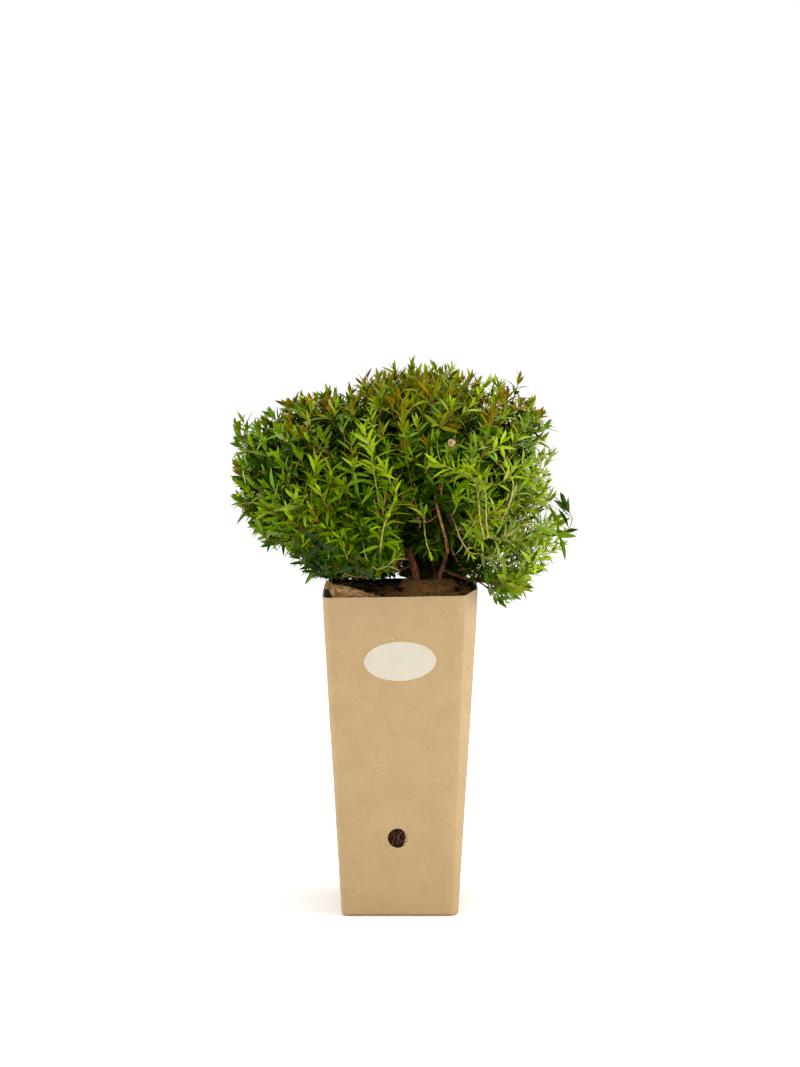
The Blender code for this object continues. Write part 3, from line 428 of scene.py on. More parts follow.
# Kinds of surface: roughness, gloss, its colour layers, each a pattern and the levels where it
# comes in, and its bump as pattern, strength and depth. A pattern is noise of some scale, detail
# and stretch, or None for the height above the ground.
CARD_FIBRES = (900, 3, (1, 1, 0.5))
COIR_STRANDS = (620, 5, (0.5, 1, 1))
BARK_STRIPES = (900, 4, (1, 1, 0.22))
KINDS = {
    # The card's last layer, by height, turns it a darker red-brown in its lowest 3 mm above the
    # ground
    "card": (0.42, 0.85,
             (((45, 5), 0.35, 0.68), (CARD_FIBRES, 0.58, 0.78), ((1300, 2), 0.66, 0.76),
              ((640, 1, (1, 1, 0.7)), 0.735, 0.8), (None, 0.0028, 0.0006)),
             (CARD_FIBRES, 0.18, 0.0003)),
    "cut": (0.9, 0.2, (((900, 3), 0.4, 0.7),), ((900, 3), 0.4, 0.0003)),
    "torn": (0.95, 0.1, (((800, 4), 0.38, 0.62),), ((800, 4), 0.8, 0.0006)),
    "film": (0.62, 0.06, (((300, 4), 0.55, 0.8),), ((180, 3), 0.5, 0.0006)),
    "compost": (0.95, 0.08, (((700, 5), 0.42, 0.68),), ((700, 5), 0.7, 0.0008)),
    "felt": (0.95, 0.15, ((COIR_STRANDS, 0.36, 0.66),), (COIR_STRANDS, 0.9, 0.0012)),
    "fibre": (0.85, 0.2, (((260, 3), 0.35, 0.65),), ((2200, 2), 0.25, 0.0002)),
    "bark": (0.78, 0.25, ((BARK_STRIPES, 0.38, 0.64), ((320, 4, (1, 1, 0.35)), 0.6, 0.7)),
             (BARK_STRIPES, 0.7, 0.0006)),
    "paper": (0.5, 0.35, (((90, 3), 0.35, 0.7),), ((1500, 3), 0.08, 0.0001)),
    "paper rim": (0.55, 0.3, (((400, 3), 0.35, 0.7),), None),
    "shoot": (0.6, 0.3, (((240, 3), 0.35, 0.65),), ((1800, 2), 0.3, 0.0002)),
    "withered": (0.8, 0.2, (((500, 4), 0.4, 0.62),), ((500, 4), 0.6, 0.0005)),
    "leaf": (0.28, 0.03, (), ((1400, 2), 0.12, 0.0002)),
    "floor": (0.9, 0, (), None),
}
# Materials: kind, plain colour, and the tones that the layers lay over each other, all as sRGB
MATERIALS = {
    "speckled_card": ("card", (155, 125, 71), (152, 121, 66), (159, 128, 72), (174, 147, 100),
                      (128, 100, 66), (206, 190, 158), (146, 98, 58)),
    "cut_card": ("cut", (208, 188, 152), (198, 176, 138), (216, 198, 164)),
    "torn_card": ("torn", (150, 118, 80), (104, 72, 46), (184, 158, 122)),
    "black_film": ("film", (16, 13, 12), (12, 9, 9), (34, 27, 23)),
    "cream_paper": ("paper", (192, 185, 165), (185, 178, 160), (189, 182, 164)),
    "label_rim": ("paper rim", (196, 186, 158), (190, 178, 148), (200, 192, 168)),
    # The coir felt: a dark copy with painted shade for the flat part, a bright copy with painted
    # light for the mound, and the curled lip's own tan
    "shaded_coir": ("felt", (54, 37, 23), (22, 14, 9), (54, 37, 23)),
    "lit_brown_felt": ("felt", (208, 158, 94), (152, 104, 48), (208, 158, 94)),
    "tan_felt": ("felt", (172, 135, 88), (64, 44, 24), (172, 135, 88)),
    "tan_coir": ("fibre", (206, 167, 113), (137, 100, 60), (206, 167, 113)),
    "brown_coir": ("fibre", (199, 148, 84), (132, 87, 44), (199, 148, 84)),
    "pale_roots": ("fibre", (150, 118, 84), (70, 42, 26), (150, 118, 84)),
    "dark_compost": ("compost", (52, 30, 20), (24, 12, 8), (84, 46, 28)),
    "old_bark": ("bark", (160, 100, 66), (92, 52, 34), (160, 100, 66), (190, 140, 100)),
    "bough_skin": ("bark", (148, 98, 64), (84, 50, 32), (148, 98, 64), (172, 128, 92)),
    "woody_shoots": ("shoot", (140, 96, 62), (84, 50, 32), (140, 96, 62)),
    "brown_shoots_skin": ("shoot", (166, 120, 54), (112, 66, 28), (166, 120, 54)),
    "pale_shoots_skin": ("shoot", (178, 164, 92), (128, 112, 44), (178, 164, 92)),
    "withered_leaf": ("withered", (176, 134, 104), (116, 90, 58), (188, 160, 120)),
    "pale_floor": ("floor", (252.7449, 252.7449, 252.7449)),
}
# The card's faint surface gloss, which pales the faces seen at a slant
CARD_COAT = 0.42
CARD_COAT_ROUGHNESS = 0.4
# Numbers of the colour mixer's sockets
MIX_SHARE, MIX_FIRST, MIX_SECOND, MIX_RESULT = 0, 6, 7, 2


# Helpers

def mix(start, end, share):
    """A value between two others."""
    return start + (end - start) * share


def clamp(value, low, high):
    """A value kept between two others."""
    return min(max(value, low), high)


def ease(value):
    """A smooth step from 0 to 1, flat at both ends."""
    value = clamp(value, 0, 1)
    return value * value * (3 - 2 * value)


def taper(start, end, count):
    """Values that go evenly from start to end."""
    return [mix(start, end, index / (count - 1)) for index in range(count)]


def wave(x, y, z, scale=1):
    """Smooth noise between about -1 and 1."""
    return noise.noise(Vector((x, y, z)) * scale)


def circle(sides):
    """The angles of points round a circle."""
    return [tau * side / sides for side in range(sides)]


def ring_band(low, high, sides):
    """Quads between two rings, given the numbers of their first corners."""
    index = np.arange(sides)
    after = (index + 1) % sides
    return np.stack([low + index, low + after, high + after, high + index], axis=1)


def ring_quads(rings, sides):
    """Quads between rings of points."""
    return np.concatenate([ring_band(ring * sides, (ring + 1) * sides, sides)
                           for ring in range(rings - 1)])


def fan(start, sides, middle):
    """Triangles from a ring to a corner in its middle."""
    return np.insert(ring_band(start, start, sides)[:, :2], 2, middle, axis=1)


def flat(rings):
    """The points of all rings in one list."""
    return [point for ring in rings for point in ring]


def add_object(name, data, place=(0, 0, 0), turn=(0, 0, 0)):
    """An object of some data, in the scene."""
    thing = bpy.data.objects.new(name, data)
    thing.location = place
    thing.rotation_euler = turn
    bpy.context.scene.collection.objects.link(thing)
    return thing


def mesh_from(name, work, skin):
    """A mesh made from a bmesh."""
    mesh = bpy.data.meshes.new(name)
    work.to_mesh(mesh)
    work.free()
    mesh.materials.append(skin)
    return mesh


class Shape:
    """Vertices and faces gathered for one mesh piece."""

    def __init__(self):
        self.vertices, self.quads, self.triangles, self.count = [], [], [], 0

    def add(self, vertices, quads=(), triangles=()):
        """Add vertices, with faces that number them from 0."""
        self.vertices.append(np.asarray(vertices, np.float64))
        for kept, faces in ((self.quads, quads), (self.triangles, triangles)):
            if len(faces):
                kept.append(np.asarray(faces) + self.count)
        self.count += len(vertices)
        return self

    def build(self, name, slot, *skins, smooth=True):
        """The piece, which rides on the only body."""
        vertices = np.concatenate(self.vertices).astype(np.float32)
        faces = [np.concatenate(part) for part in (self.quads, self.triangles) if part]
        corners = np.concatenate([part.ravel() for part in faces]).astype(np.int32)
        sizes = np.concatenate([np.full(len(part), part.shape[1], np.int32) for part in faces])
        mesh = bpy.data.meshes.new(name)
        mesh.vertices.add(len(vertices))
        mesh.vertices.foreach_set("co", vertices.ravel())
        mesh.loops.add(len(corners))
        mesh.loops.foreach_set("vertex_index", corners)
        mesh.polygons.add(len(sizes))
        mesh.polygons.foreach_set("loop_start", np.concatenate([[0], np.cumsum(sizes)[:-1]]))
        mesh.polygons.foreach_set("loop_total", sizes)
        mesh.polygons.foreach_set("use_smooth", np.full(len(sizes), smooth))
        mesh.update()
        mesh.validate()
        for skin in skins:
            mesh.materials.append(skin)
        piece = add_object(name, mesh)
        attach(piece, "root")
        return piece


# Materials

def srgb(colour):
    """A linear opaque colour from 8-bit sRGB values."""
    values = [value / 255 for value in colour]
    return (*[value / 12.92 if value <= 0.04045 else ((value + 0.055) / 1.055) ** 2.4
              for value in values], 1)


def node(tree, kind, output, inputs, **settings):
    """An output of a new shader node, whose inputs are set or linked by name or number."""
    made = tree.nodes.new("ShaderNode" + kind)
    for key, value in settings.items():
        setattr(made, key, value)
    for key, value in inputs.items():
        if isinstance(value, bpy.types.NodeSocket):
            tree.links.new(value, made.inputs[key])
        else:
            made.inputs[key].default_value = value
    return made.outputs[output]


def field(tree, pattern):
    """A pattern's noise, with features of about 1 / scale metres, or the height if it is None."""
    place = node(tree, "TexCoord", "Object", {})
    if pattern is None:
        return node(tree, "SeparateXYZ", "Z", {"Vector": place})
    scale, detail, *stretch = pattern
    place = node(tree, "Mapping", "Vector", {"Vector": place, "Scale": (*stretch, (1, 1, 1))[0]})
    return node(tree, "TexNoise", "Fac", {"Vector": place, "Scale": scale, "Detail": detail})


def surface(name, kind, plain, *tones, gloss=None):
    """A Principled material of some kind."""
    roughness, usual_gloss, layers, bump = KINDS[kind]
    material = bpy.data.materials.new(name)
    material.use_nodes = True
    material.diffuse_color = srgb(plain)
    tree = material.node_tree
    sockets = tree.nodes["Principled BSDF"].inputs
    sockets["Base Color"].default_value = srgb(plain)
    sockets["Roughness"].default_value = roughness
    sockets["Specular IOR Level"].default_value = usual_gloss if gloss is None else gloss
    fields = {}
    colour = srgb(tones[0] if layers else plain)
    for (pattern, low, high), tone in zip(layers, tones[1:]):
        fields[pattern] = field(tree, pattern)
        levels = {"Value": fields[pattern], "From Min": low, "From Max": high}
        parts = {MIX_SHARE: node(tree, "MapRange", "Result", levels), MIX_FIRST: colour,
                 MIX_SECOND: srgb(tone)}
        colour = node(tree, "Mix", MIX_RESULT, parts, data_type="RGBA")
    if layers:
        tree.links.new(colour, sockets["Base Color"])
    if bump:
        pattern, strength, depth = bump
        height = fields.get(pattern) or field(tree, pattern)
        parts = {"Height": height, "Strength": strength, "Distance": depth}
        tree.links.new(node(tree, "Bump", "Normal", parts), sockets["Normal"])
    return material


# The pot

def pot_half(z):
    """Half the pot's outer width at a height."""
    return mix(POT_BASE_HALF, POT_HALF, z / POT_HEIGHT)


def wall_bulge(z):
    """How far the middle of each wall swells outward at a height."""
    return POT_BULGE * sin(pi * BULGE_REACH * min(z / POT_HEIGHT, 1))


def pot_outline(z, inset, corner_steps=9, side_steps=14):
    """The pot's outline at a height, as X and Y points drawn in by an inset."""
    half = pot_half(z) - inset
    swell = wall_bulge(z) / half
    sharpen = mix(FOOT_CORNERS, 1, min(z / POT_HEIGHT, 1))
    corners = [max(radius * sharpen - inset, GAP) for radius in CORNER_RADII]
    points = []
    for quarter, radius in enumerate(corners):
        turn = Matrix.Rotation(quarter * pi / 2, 2)
        for step in range(corner_steps + 1):
            angle = step / corner_steps * pi / 2
            arc = Vector((cos(angle), sin(angle)))
            chord = Vector((1, 0)).lerp(Vector((0, 1)), step / corner_steps)
            arc = arc.lerp(chord, CORNER_FLATNESS[quarter]) * radius
            points.append(turn @ (Vector((half - radius, half - radius)) + arc))
        for step in range(1, side_steps):
            x = mix(half - radius, corners[(quarter + 1) % 4] - half, step / side_steps)
            points.append(turn @ Vector((x, half)))
    return [(x * (1 + swell * (1 - (y / half) ** 2)), y * (1 + swell * (1 - (x / half) ** 2)))
            for x, y in points]


def wall_place(x, z, depth):
    """A place at a depth behind the outside of the pot's front wall."""
    half = pot_half(z)
    return x, depth - (half + wall_bulge(z) * (1 - (x / half) ** 2)), z


def card_rim(x, y):
    """The card's rim climbs a little to the right, and most at the front right corner."""
    corner = ease((x - RIM_CORNER_START) / RIM_CORNER_RUN)
    corner *= ease((POT_HALF - y) / (RIM_CORNER_DEPTH * POT_HALF))
    return POT_HEIGHT + RIM_TILT * x / POT_HALF + RIM_CORNER_RISE * corner


def liner_rim(x, y):
    """The liner's rim stands proud of the card, most at the front corners."""
    rise = LINER_RISE if y > -0.9 * POT_HALF else LINER_FRONT_RISE
    for corner, height in zip(((1, 1), (-1, 1), (-1, -1), (1, -1)), LINER_CORNER_RISES):
        distance = hypot(x - corner[0] * POT_HALF, y - corner[1] * POT_HALF)
        rise += height * exp(-((distance / LINER_CORNER_SPREAD) ** 2))
    return card_rim(x, y) + rise


def sleeve_ring(z, inset, rim=False):
    """One ring of the card, with faint dents and an uneven rim."""
    ring = []
    for x, y in pot_outline(z, inset):
        scale = 1 + wave(x, y, z, 28) * DENT * ease(z / DENT_FREE_FOOT) / POT_HALF
        height = card_rim(x, y) + wave(x, y, 3, 55) * RIM_WEAR if rim else z
        ring.append((x * scale, y * scale, height))
    return ring


def build_sleeve(card, cut_card):
    """The card pot: walls, rounded foot, floor, drainage hole and cut rim."""
    rings = []
    for step in range(FOOT_STEPS + 1):
        angle = step / FOOT_STEPS * pi / 2
        rings.append(sleeve_ring(BASE_ROUND * (1 - cos(angle)), BASE_ROUND * (1 - sin(angle))))
    walls = [mix(BASE_ROUND, POT_HEIGHT, step / WALL_RINGS) for step in range(1, WALL_RINGS)]
    rings += [sleeve_ring(z, 0) for z in walls]
    rim = len(rings)
    rings += [sleeve_ring(POT_HEIGHT, inset, rim=True) for inset in (0, CARD)]
    rings += [sleeve_ring(z, CARD) for z in reversed(walls)]
    sides = len(rings[0])
    count = len(rings) * sides
    floor = np.concatenate([fan(0, sides, count)[:, (1, 0, 2)],
                            fan(count - sides, sides, count + 1)])
    vertices = flat(rings) + [(0, 0, 0), (0, 0, BASE_ROUND * 2)]
    shape = Shape().add(vertices, ring_quads(len(rings), sides), floor)
    sleeve = shape.build("card_sleeve", "card", card, cut_card)
    for face in sleeve.data.polygons[rim * sides:(rim + 1) * sides]:
        face.material_index = 1
    cut_hole(sleeve)
    sleeve.data.set_sharp_from_angle(angle=radians(50))
    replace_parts(sleeve, "card_pot")


def cut_hole(thing):
    """Cut the drainage hole through a thing's front wall, lined with its last material."""
    work = bmesh.new()
    bmesh.ops.create_cone(work, cap_ends=True, segments=72, radius1=HOLE_RADIUS,
                          radius2=HOLE_RADIUS, depth=HOLE_DEPTH)
    mesh = mesh_from("hole_cutter", work, thing.data.materials[-1])
    hole = thing.modifiers.new("Hole", "BOOLEAN")
    hole.operation = "DIFFERENCE"
    hole.object = add_object("hole_cutter", mesh, wall_place(HOLE_X, HOLE_Z, 0), (pi / 2, 0, 0))
    hole.solver = "EXACT"
    hole.material_mode = "TRANSFER"
    cutter = hole.object
    with bpy.context.temp_override(object=thing, active_object=thing):
        bpy.ops.object.modifier_apply(modifier=hole.name)
    bpy.data.objects.remove(cutter)
    bpy.data.meshes.remove(mesh)


def build_inner_ply(torn_card):
    """The card's torn inner ply, whose hole sits a little to the left of the outer one."""
    rings = []
    for torn, depth in ((0, 0.98), (1, 0.8), (1, 0.45), (0, 0.4)):
        ring = []
        for angle in circle(PLY_SIDES):
            ragged = PLY_RAGGED * wave(cos(angle) * 4, sin(angle) * 4, 1.5)
            radius = HOLE_RADIUS * 1.02 + ragged
            x = HOLE_X + radius * cos(angle) - PLY_SHIFT * torn * max(cos(angle), 0)
            ring.append(wall_place(x, HOLE_Z + radius * sin(angle), CARD * depth))
        rings.append(ring)
    shape = Shape().add(flat(rings), ring_quads(len(rings), PLY_SIDES))
    shape.build("inner_ply", "card", torn_card)


def liner_place(x, y, share, skin):
    """A place on one of the crinkled liner's skins, at a share of the height that shows."""
    top = liner_rim(x, y) + wave(x, y, 8, 160) * LINER_WEAR
    z = mix(top - LINER_DEPTH, top, share)
    fold = 0.5 + 0.5 * wave(x * 210, y * 210, z * 80)
    crinkle = 0.5 + 0.5 * wave(x * 420, y * 420, z * 300 + 5)
    loose = 1 - ease(curl(x, y) / 0.003)
    free = ease((z - POT_HEIGHT + 0.003) / 0.008)
    inward = LINER * 0.3 * skin + (LINER_FOLDS * fold + LINER_CRINKLES * crinkle) * loose
    scale = 1 - (inward + LINER_FREE_FOLDS * free * fold) / POT_HALF
    return x * scale, y * scale, z


def build_liner(film):
    """The crinkled top of the black liner."""
    rings = []
    for skin in (0, 1):
        for step in range(LINER_RINGS + 1):
            share = step / LINER_RINGS
            outline = pot_outline(POT_HEIGHT - LINER_DEPTH * (1 - share), CARD + GAP, 22, 44)
            rings.append([liner_place(x, y, share, skin) for x, y in outline])
    sides = len(rings[0])
    half = (LINER_RINGS + 1) * sides
    skin = ring_quads(LINER_RINGS + 1, sides)
    rim = ring_band(half - sides, 2 * half - sides, sides)
    shape = Shape().add(flat(rings), np.concatenate([skin, half + skin[:, ::-1], rim]))
    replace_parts(shape.build("liner_film", "liner", film), "liner")


def build_label(paper, border):
    """The bare oval label, bent to the wall, with a narrow raised border."""
    turn = Matrix.Rotation(LABEL_TURN, 2)
    sheet_lift, border_lift = (GAP * 0.5 + LABEL_THICKNESS * share for share in (1, 1.15))
    pieces = (("label_sheet", paper, sheet_lift, (0, 0.3, 0.6, 0.85, 0.955), ()),
              ("label_border", border, border_lift, (0.955, 0.975, 0.99, 1), ((1, GAP * 0.2),)))
    for name, skin, lift, scales, edge in pieces:
        rings = []
        for scale, height in (*((scale, lift) for scale in scales), *edge):
            ring = []
            for angle in circle(LABEL_SIDES):
                flat_place = Vector((LABEL_WIDTH * cos(angle), LABEL_HEIGHT * sin(angle))) / 2
                x, z = turn @ (flat_place * scale)
                ring.append(wall_place(x, LABEL_Z + z, -height))
            rings.append(ring)
        quads = ring_quads(len(rings), LABEL_SIDES)[:, ::-1]
        piece = Shape().add(flat(rings), quads).build(name, "label", skin)
        if name == "label_sheet":
            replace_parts(piece, "label")


# The mat, compost and roots

def mound_share(x, y):
    """1 on the flat top of the mound, falling to 0 round it."""
    distance = hypot((x - MOUND_X) / MOUND_HALF_X, (y - MOUND_Y) / MOUND_HALF_Y)
    return 1 - ease((distance - 1) / MOUND_SLOPE)


def curl(x, y):
    """How far the mat curls up along its front left and left edges."""
    front, left = (ease((-place - POT_HALF + CURL_REACH) / CURL_REACH) for place in (y, x))
    front *= ease((CURL_FRONT_END - x) / CURL_RAMP)
    left *= ease((CURL_SIDE_END - y) / CURL_RAMP)
    return CURL_HEIGHT * max(front, left)


def mat_z(x, y):
    """Height of the mat's top."""
    return mix(MAT_TOP, MOUND_TOP, mound_share(x, y)) + curl(x, y)


def build_mat(*felts):
    """The lumpy body of the coir mat, with a ragged edge and a skirt inside the rim."""
    outline = pot_outline(MAT_TOP, MAT_INSET, 14, 34)
    sides = len(outline)
    vertices = []
    for skirt in (True, False):
        for x, y in outline:
            ragged = 1 - 0.008 * abs(wave(x, y, 2, 240))
            top = mat_z(x, y)
            z = min(SKIRT_Z, top - MAT) if skirt else top - MAT * 0.4
            vertices.append((x * ragged, y * ragged, z))
    for ring in range(MAT_RINGS):
        scale = 1 - ring / MAT_RINGS if ring else 0.992
        for x, y in outline:
            x, y = mix(MOUND_X, x, scale), mix(MOUND_Y, y, scale)
            lumps = wave(x, y, 0, 150) * 0.0008 + wave(x, y, 4, 520) * 0.0006
            vertices.append((x, y, mat_z(x, y) + lumps - 0.0004))
    count = len(vertices)
    vertices.append((MOUND_X, MOUND_Y, mat_z(MOUND_X, MOUND_Y)))
    shape = Shape().add(vertices, ring_quads(MAT_RINGS + 2, sides),
                        fan(count - sides, sides, count))
    mat = shape.build("coir_felt", "coir", *felts)
    # The flat part takes the painted-shade felt, the mound the painted-light felt, the curled lip
    # the tan felt
    for face in mat.data.polygons:
        x, y, z = face.center
        face.material_index = 2 if curl(x, y) > 0.0012 else int(mound_share(x, y) > 0.25)
    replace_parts(mat, "coir_mat")


def frames(points, first=None):
    """Each point of a path with two unit vectors across it, carried along without a twist."""
    for index, point in enumerate(points):
        before = points[max(index - 1, 0)]
        direction = (points[min(index + 1, len(points) - 1)] - before).normalized()
        if first is None:
            first = direction.orthogonal().normalized()
        first = (first - direction * first.dot(direction)).normalized()
        yield point, first, direction.cross(first)


def add_tube(shape, vertices, rings, sides):
    """Add a tube's skin and its two end caps to a shape."""
    last = (rings - 1) * sides
    caps = [corners for side in range(1, sides - 1)
            for corners in ((0, side + 1, side), (last, last + side, last + side + 1))]
    shape.add(vertices, ring_quads(rings, sides), caps)


def tube(shape, points, radii, sides):
    """Add a tube along points, with its radius at each, to a shape."""
    vertices = []
    points = [Vector(point) for point in points]
    for radius, (point, first, second) in zip(radii, frames(points)):
        for angle in circle(sides):
            vertices.append(tuple(point + (first * cos(angle) + second * sin(angle)) * radius))
    add_tube(shape, vertices, len(points), sides)


def fibre_path(rng, x, y):
    """A fibre's route over the mat, lifted a little off it."""
    count = len(FIBRE_TAPER)
    heading = rng.uniform(0, tau)
    length = rng.uniform(*FIBRE_LENGTH)
    lift = rng.uniform(0, 0.002)
    half = MAT_HALF - 0.0006
    points = []
    for step in range(count):
        heading += rng.gauss(0, 0.55)
        x = clamp(x + cos(heading) * length / count, -half, half)
        y = clamp(y + sin(heading) * length / count, -half, half)
        arch = lift * sin(pi * step / (count - 1))
        points.append((x, y, mat_z(x, y) + 0.0002 + arch + rng.uniform(-0.0002, 0.0003)))
    return points


def lip_place(along, height, out):
    """A place on the mat's curled lip: along it from the left side round to the front."""
    half = MAT_HALF + out
    side = LIP_END_Y + half
    run = along * (side + LIP_END_X + half)
    near = max(LIP_CORNER - abs(run - side), 0) * 0.42
    if run < side:
        x, y = near - half, LIP_END_Y - run + near * 0.6
    else:
        x, y = run - side - half + near * 0.6, near - half
    top = mat_z(x, y) + LIP_TUFT * exp(-(((run - side) / LIP_TUFT_SPREAD) ** 2))
    return x, y, mix(min(POT_HEIGHT - 0.0025, top - MAT), top, height)


def fibre_radii(rng):
    """The radii along a fibre of some thickness."""
    radius = rng.uniform(*FIBRE_RADIUS)
    return [radius * value for value in FIBRE_TAPER]


def lip_fibre_path(rng):
    """A fibre's route along the mat's curled lip."""
    along, height = rng.random(), rng.random()
    drift, climb = rng.gauss(0, 0.01), rng.gauss(0, 0.07)
    points = []
    for _ in FIBRE_TAPER:
        points.append(lip_place(clamp(along, 0, 1), clamp(height, 0, 1.05),
                                rng.uniform(0, 0.0007)))
        along += drift + rng.gauss(0, 0.003)
        height += climb + rng.gauss(0, 0.1)
    return points


def build_fibres(tan, brown):
    """Coir fibres: brown over the mound, tan over the curled lip, with fuzz on its edge."""
    rng = random.Random(41)
    pale, dark = Shape(), Shape()
    for _ in range(MAT_FIBRES):
        if rng.random() < MOUND_FIBRES:
            place = rng.gauss(MOUND_X, 0.018), rng.gauss(MOUND_Y - 0.014, 0.02)
        else:
            place = rng.uniform(-MAT_HALF, MAT_HALF), rng.uniform(-MAT_HALF, MAT_HALF)
        x, y = (clamp(value, -MAT_HALF, MAT_HALF) for value in place)
        points, radii = fibre_path(rng, x, y), fibre_radii(rng)
        # Up to half the fibres on the mound are tan: painted light on the mound
        light = curl(x, y) > 0.002 or rng.random() < 0.05 + 0.45 * mound_share(x, y)
        tube(pale if light else dark, points, radii, 3)
    for _ in range(LIP_FIBRES):
        tube(pale, lip_fibre_path(rng), fibre_radii(rng), 3)
    for _ in range(LIP_FUZZ):
        foot = Vector(lip_place(rng.random(), rng.uniform(0.8, 1), 0.0002))
        reach = Vector((rng.gauss(0, 0.0014), rng.gauss(0, 0.0014), rng.uniform(0.0006, 0.0026)))
        bend = Vector((rng.gauss(0, 0.0008), rng.gauss(0, 0.0008), 0))
        radii = taper(rng.uniform(*FIBRE_RADIUS), 0.00006, 3)
        tube(pale, [foot, foot + reach * 0.5 + bend, foot + reach], radii, 3)
    pale.build("coir_fibres_tan", "coir", tan)
    dark.build("coir_fibres_brown", "coir", brown)


def crumb(shape, rng, centre, radius):
    """An irregular grain of compost."""
    work = bmesh.new()
    bmesh.ops.create_icosphere(work, subdivisions=1, radius=radius)
    squash = Vector((rng.uniform(0.7, 1.2), rng.uniform(0.7, 1.2), rng.uniform(0.6, 1)))
    vertices = []
    for vertex in work.verts:
        place = vertex.co * rng.uniform(0.75, 1.2)
        vertices.append(tuple(Vector(centre) + place * squash))
    shape.add(vertices, (), [[vertex.index for vertex in face.verts] for face in work.faces])
    work.free()


def root_path(rng, depth):
    """The route of a fine root across the hole."""
    angle = rng.uniform(0, tau)
    heading = angle + pi + rng.gauss(0, 0.5)
    x, z = (HOLE_RADIUS * 0.98 * share for share in (cos(angle), sin(angle)))
    points = []
    while len(points) < 9 and hypot(x, z) <= HOLE_RADIUS * 1.05:
        out = depth - 0.0009 - 0.0004 * rng.random()
        points.append(wall_place(HOLE_X + x, HOLE_Z + z, out))
        heading += rng.gauss(0, 0.35)
        x += cos(heading) * ROOT_STEP
        z += sin(heading) * ROOT_STEP
    return points


def build_compost(compost, root):
    """Compost crumbs on the mat, along its edge and in the hole, with fine roots there."""
    rng = random.Random(7)
    crumbs, roots = Shape(), Shape()
    edge = pot_outline(MAT_TOP, CARD + LINER + 3 * GAP)
    for _ in range(CRUMBS_ON_TOP):
        x, y = rng.choice(edge)
        share = rng.uniform(0.955, 0.98) if rng.random() < 0.45 else 0.93 * sqrt(rng.random())
        x, y = x * share, y * share
        if mound_share(x, y) <= 0.2:
            radius = rng.uniform(0.0005, 0.0014)
            sink = 0 if curl(x, y) < 0.001 else 0.004
            crumb(crumbs, rng, (x, y, mat_z(x, y) + radius * 0.3 - sink), radius)
    depth = CARD + LINER + 2 * GAP
    for _ in range(CRUMBS_IN_HOLE):
        angle = rng.uniform(0, tau)
        reach = HOLE_RADIUS * 1.04 * sqrt(rng.random())
        x, z = HOLE_X + reach * cos(angle), HOLE_Z + reach * sin(angle)
        radius = rng.uniform(0.0004, 0.0013)
        crumb(crumbs, rng, wall_place(x, z, depth - radius * 0.2), radius)
    for _ in range(ROOTS_IN_HOLE):
        points = root_path(rng, depth)
        if len(points) > 2:
            radius = rng.uniform(0.0001, 0.00022)
            tube(roots, points, taper(radius, radius * 0.6, len(points)), 6)
    crumbs.build("compost_crumbs", "compost", compost, smooth=False)
    roots.build("fine_roots", "compost", root)
    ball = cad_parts["root_ball"].data.materials
    ball.clear()
    ball.append(compost)


# Stems and boughs

def bezier(start, leave, arrive, end, share):
    """A point on the cubic curve that leaves and arrives along two vectors."""
    one = 1 - share
    return (one ** 3 * start + 3 * one ** 2 * share * (start + leave)
            + 3 * one * share ** 2 * (end - arrive) + share ** 3 * end)


def limb_path(start, leave, end, arrive, bow=Vector()):
    """Points of a limb with a short straight run at each end, bowed sideways between them."""
    leave = leave.normalized()
    arrive = arrive.normalized()
    first = start + leave * LIMB_RUN
    last = end - arrive * LIMB_RUN
    third = (last - first).length / 3
    points = [start]
    for share in taper(0, 1, LIMB_POINTS):
        point = bezier(first, leave * third, arrive * third, last, share)
        points.append(point + bow * sin(pi * share))
    return points + [end]


def path_length(points):
    """The length of a path."""
    return sum((b - a).length for a, b in zip(points, points[1:]))


def path_point(points, share):
    """The place and the direction at a share of a path's length, and the segment it is on."""
    left = path_length(points) * clamp(share, 0, 1)
    for index, (a, b) in enumerate(zip(points, points[1:])):
        length = (b - a).length
        if left <= length or index == len(points) - 2:
            direction = (b - a).normalized()
            return a + direction * min(left, length), direction, index
        left -= length


def nearest_place(wanted, paths, shares):
    """The place on paths, at some shares of their length, that is nearest to a wanted one."""
    places = [path_point(path, share)[0] for path in paths for share in shares]
    return min(places, key=lambda place: (place - wanted).length)


def stem_limb(foot, tip, arrive, radius, tip_radius, bow):
    """Points and radii of a stem, with a flat foot and a root flare."""
    foot = Vector((*foot, MOUND_TOP + GAP))
    start = foot + Vector((0, 0, STEM_FLARE_HEIGHT))
    path = limb_path(start, Vector((0, 0, 1)), Vector(tip), Vector(arrive), Vector(bow))
    collar = foot + Vector((0, 0, STEM_COLLAR_HEIGHT))
    flared = [radius * STEM_FLARE, radius * STEM_COLLAR_FLARE]
    return [foot, collar] + path, flared + taper(radius, tip_radius, len(path))


def mass_approach(centre):
    """The direction in which a bough enters its mass: outward and up."""
    outward = centre - CROWN_HEART
    outward.z = 0
    outward /= max(outward.length, ENTRY_SPAN)
    return (outward + Vector((0, 0, ENTRY_RISE))).normalized()


def bough_limb(points, radii, along, centre, radius):
    """Points and radii of the bough that runs from its carrier to a mass."""
    start, leave, index = path_point(points, along)
    if along < 1:
        toward = centre - start
        leave = (toward - leave * toward.dot(leave)).normalized()
        start = start + leave * radii[index]
    approach = mass_approach(centre)
    path = limb_path(start, leave, centre - approach * MASS_STEM, approach)
    return path, taper(radius, BOUGH_TIP_RADIUS, len(path))


def plan_limbs():
    """Every stem and bough by its node's name, as its points and radii."""
    limbs = {name: stem_limb(*rest) for name, *rest in STEMS}
    for name, carrier, along, centre, radius, *_ in MASSES:
        limbs["bough_" + name] = bough_limb(*limbs[carrier], along, Vector(centre), radius)
    return limbs


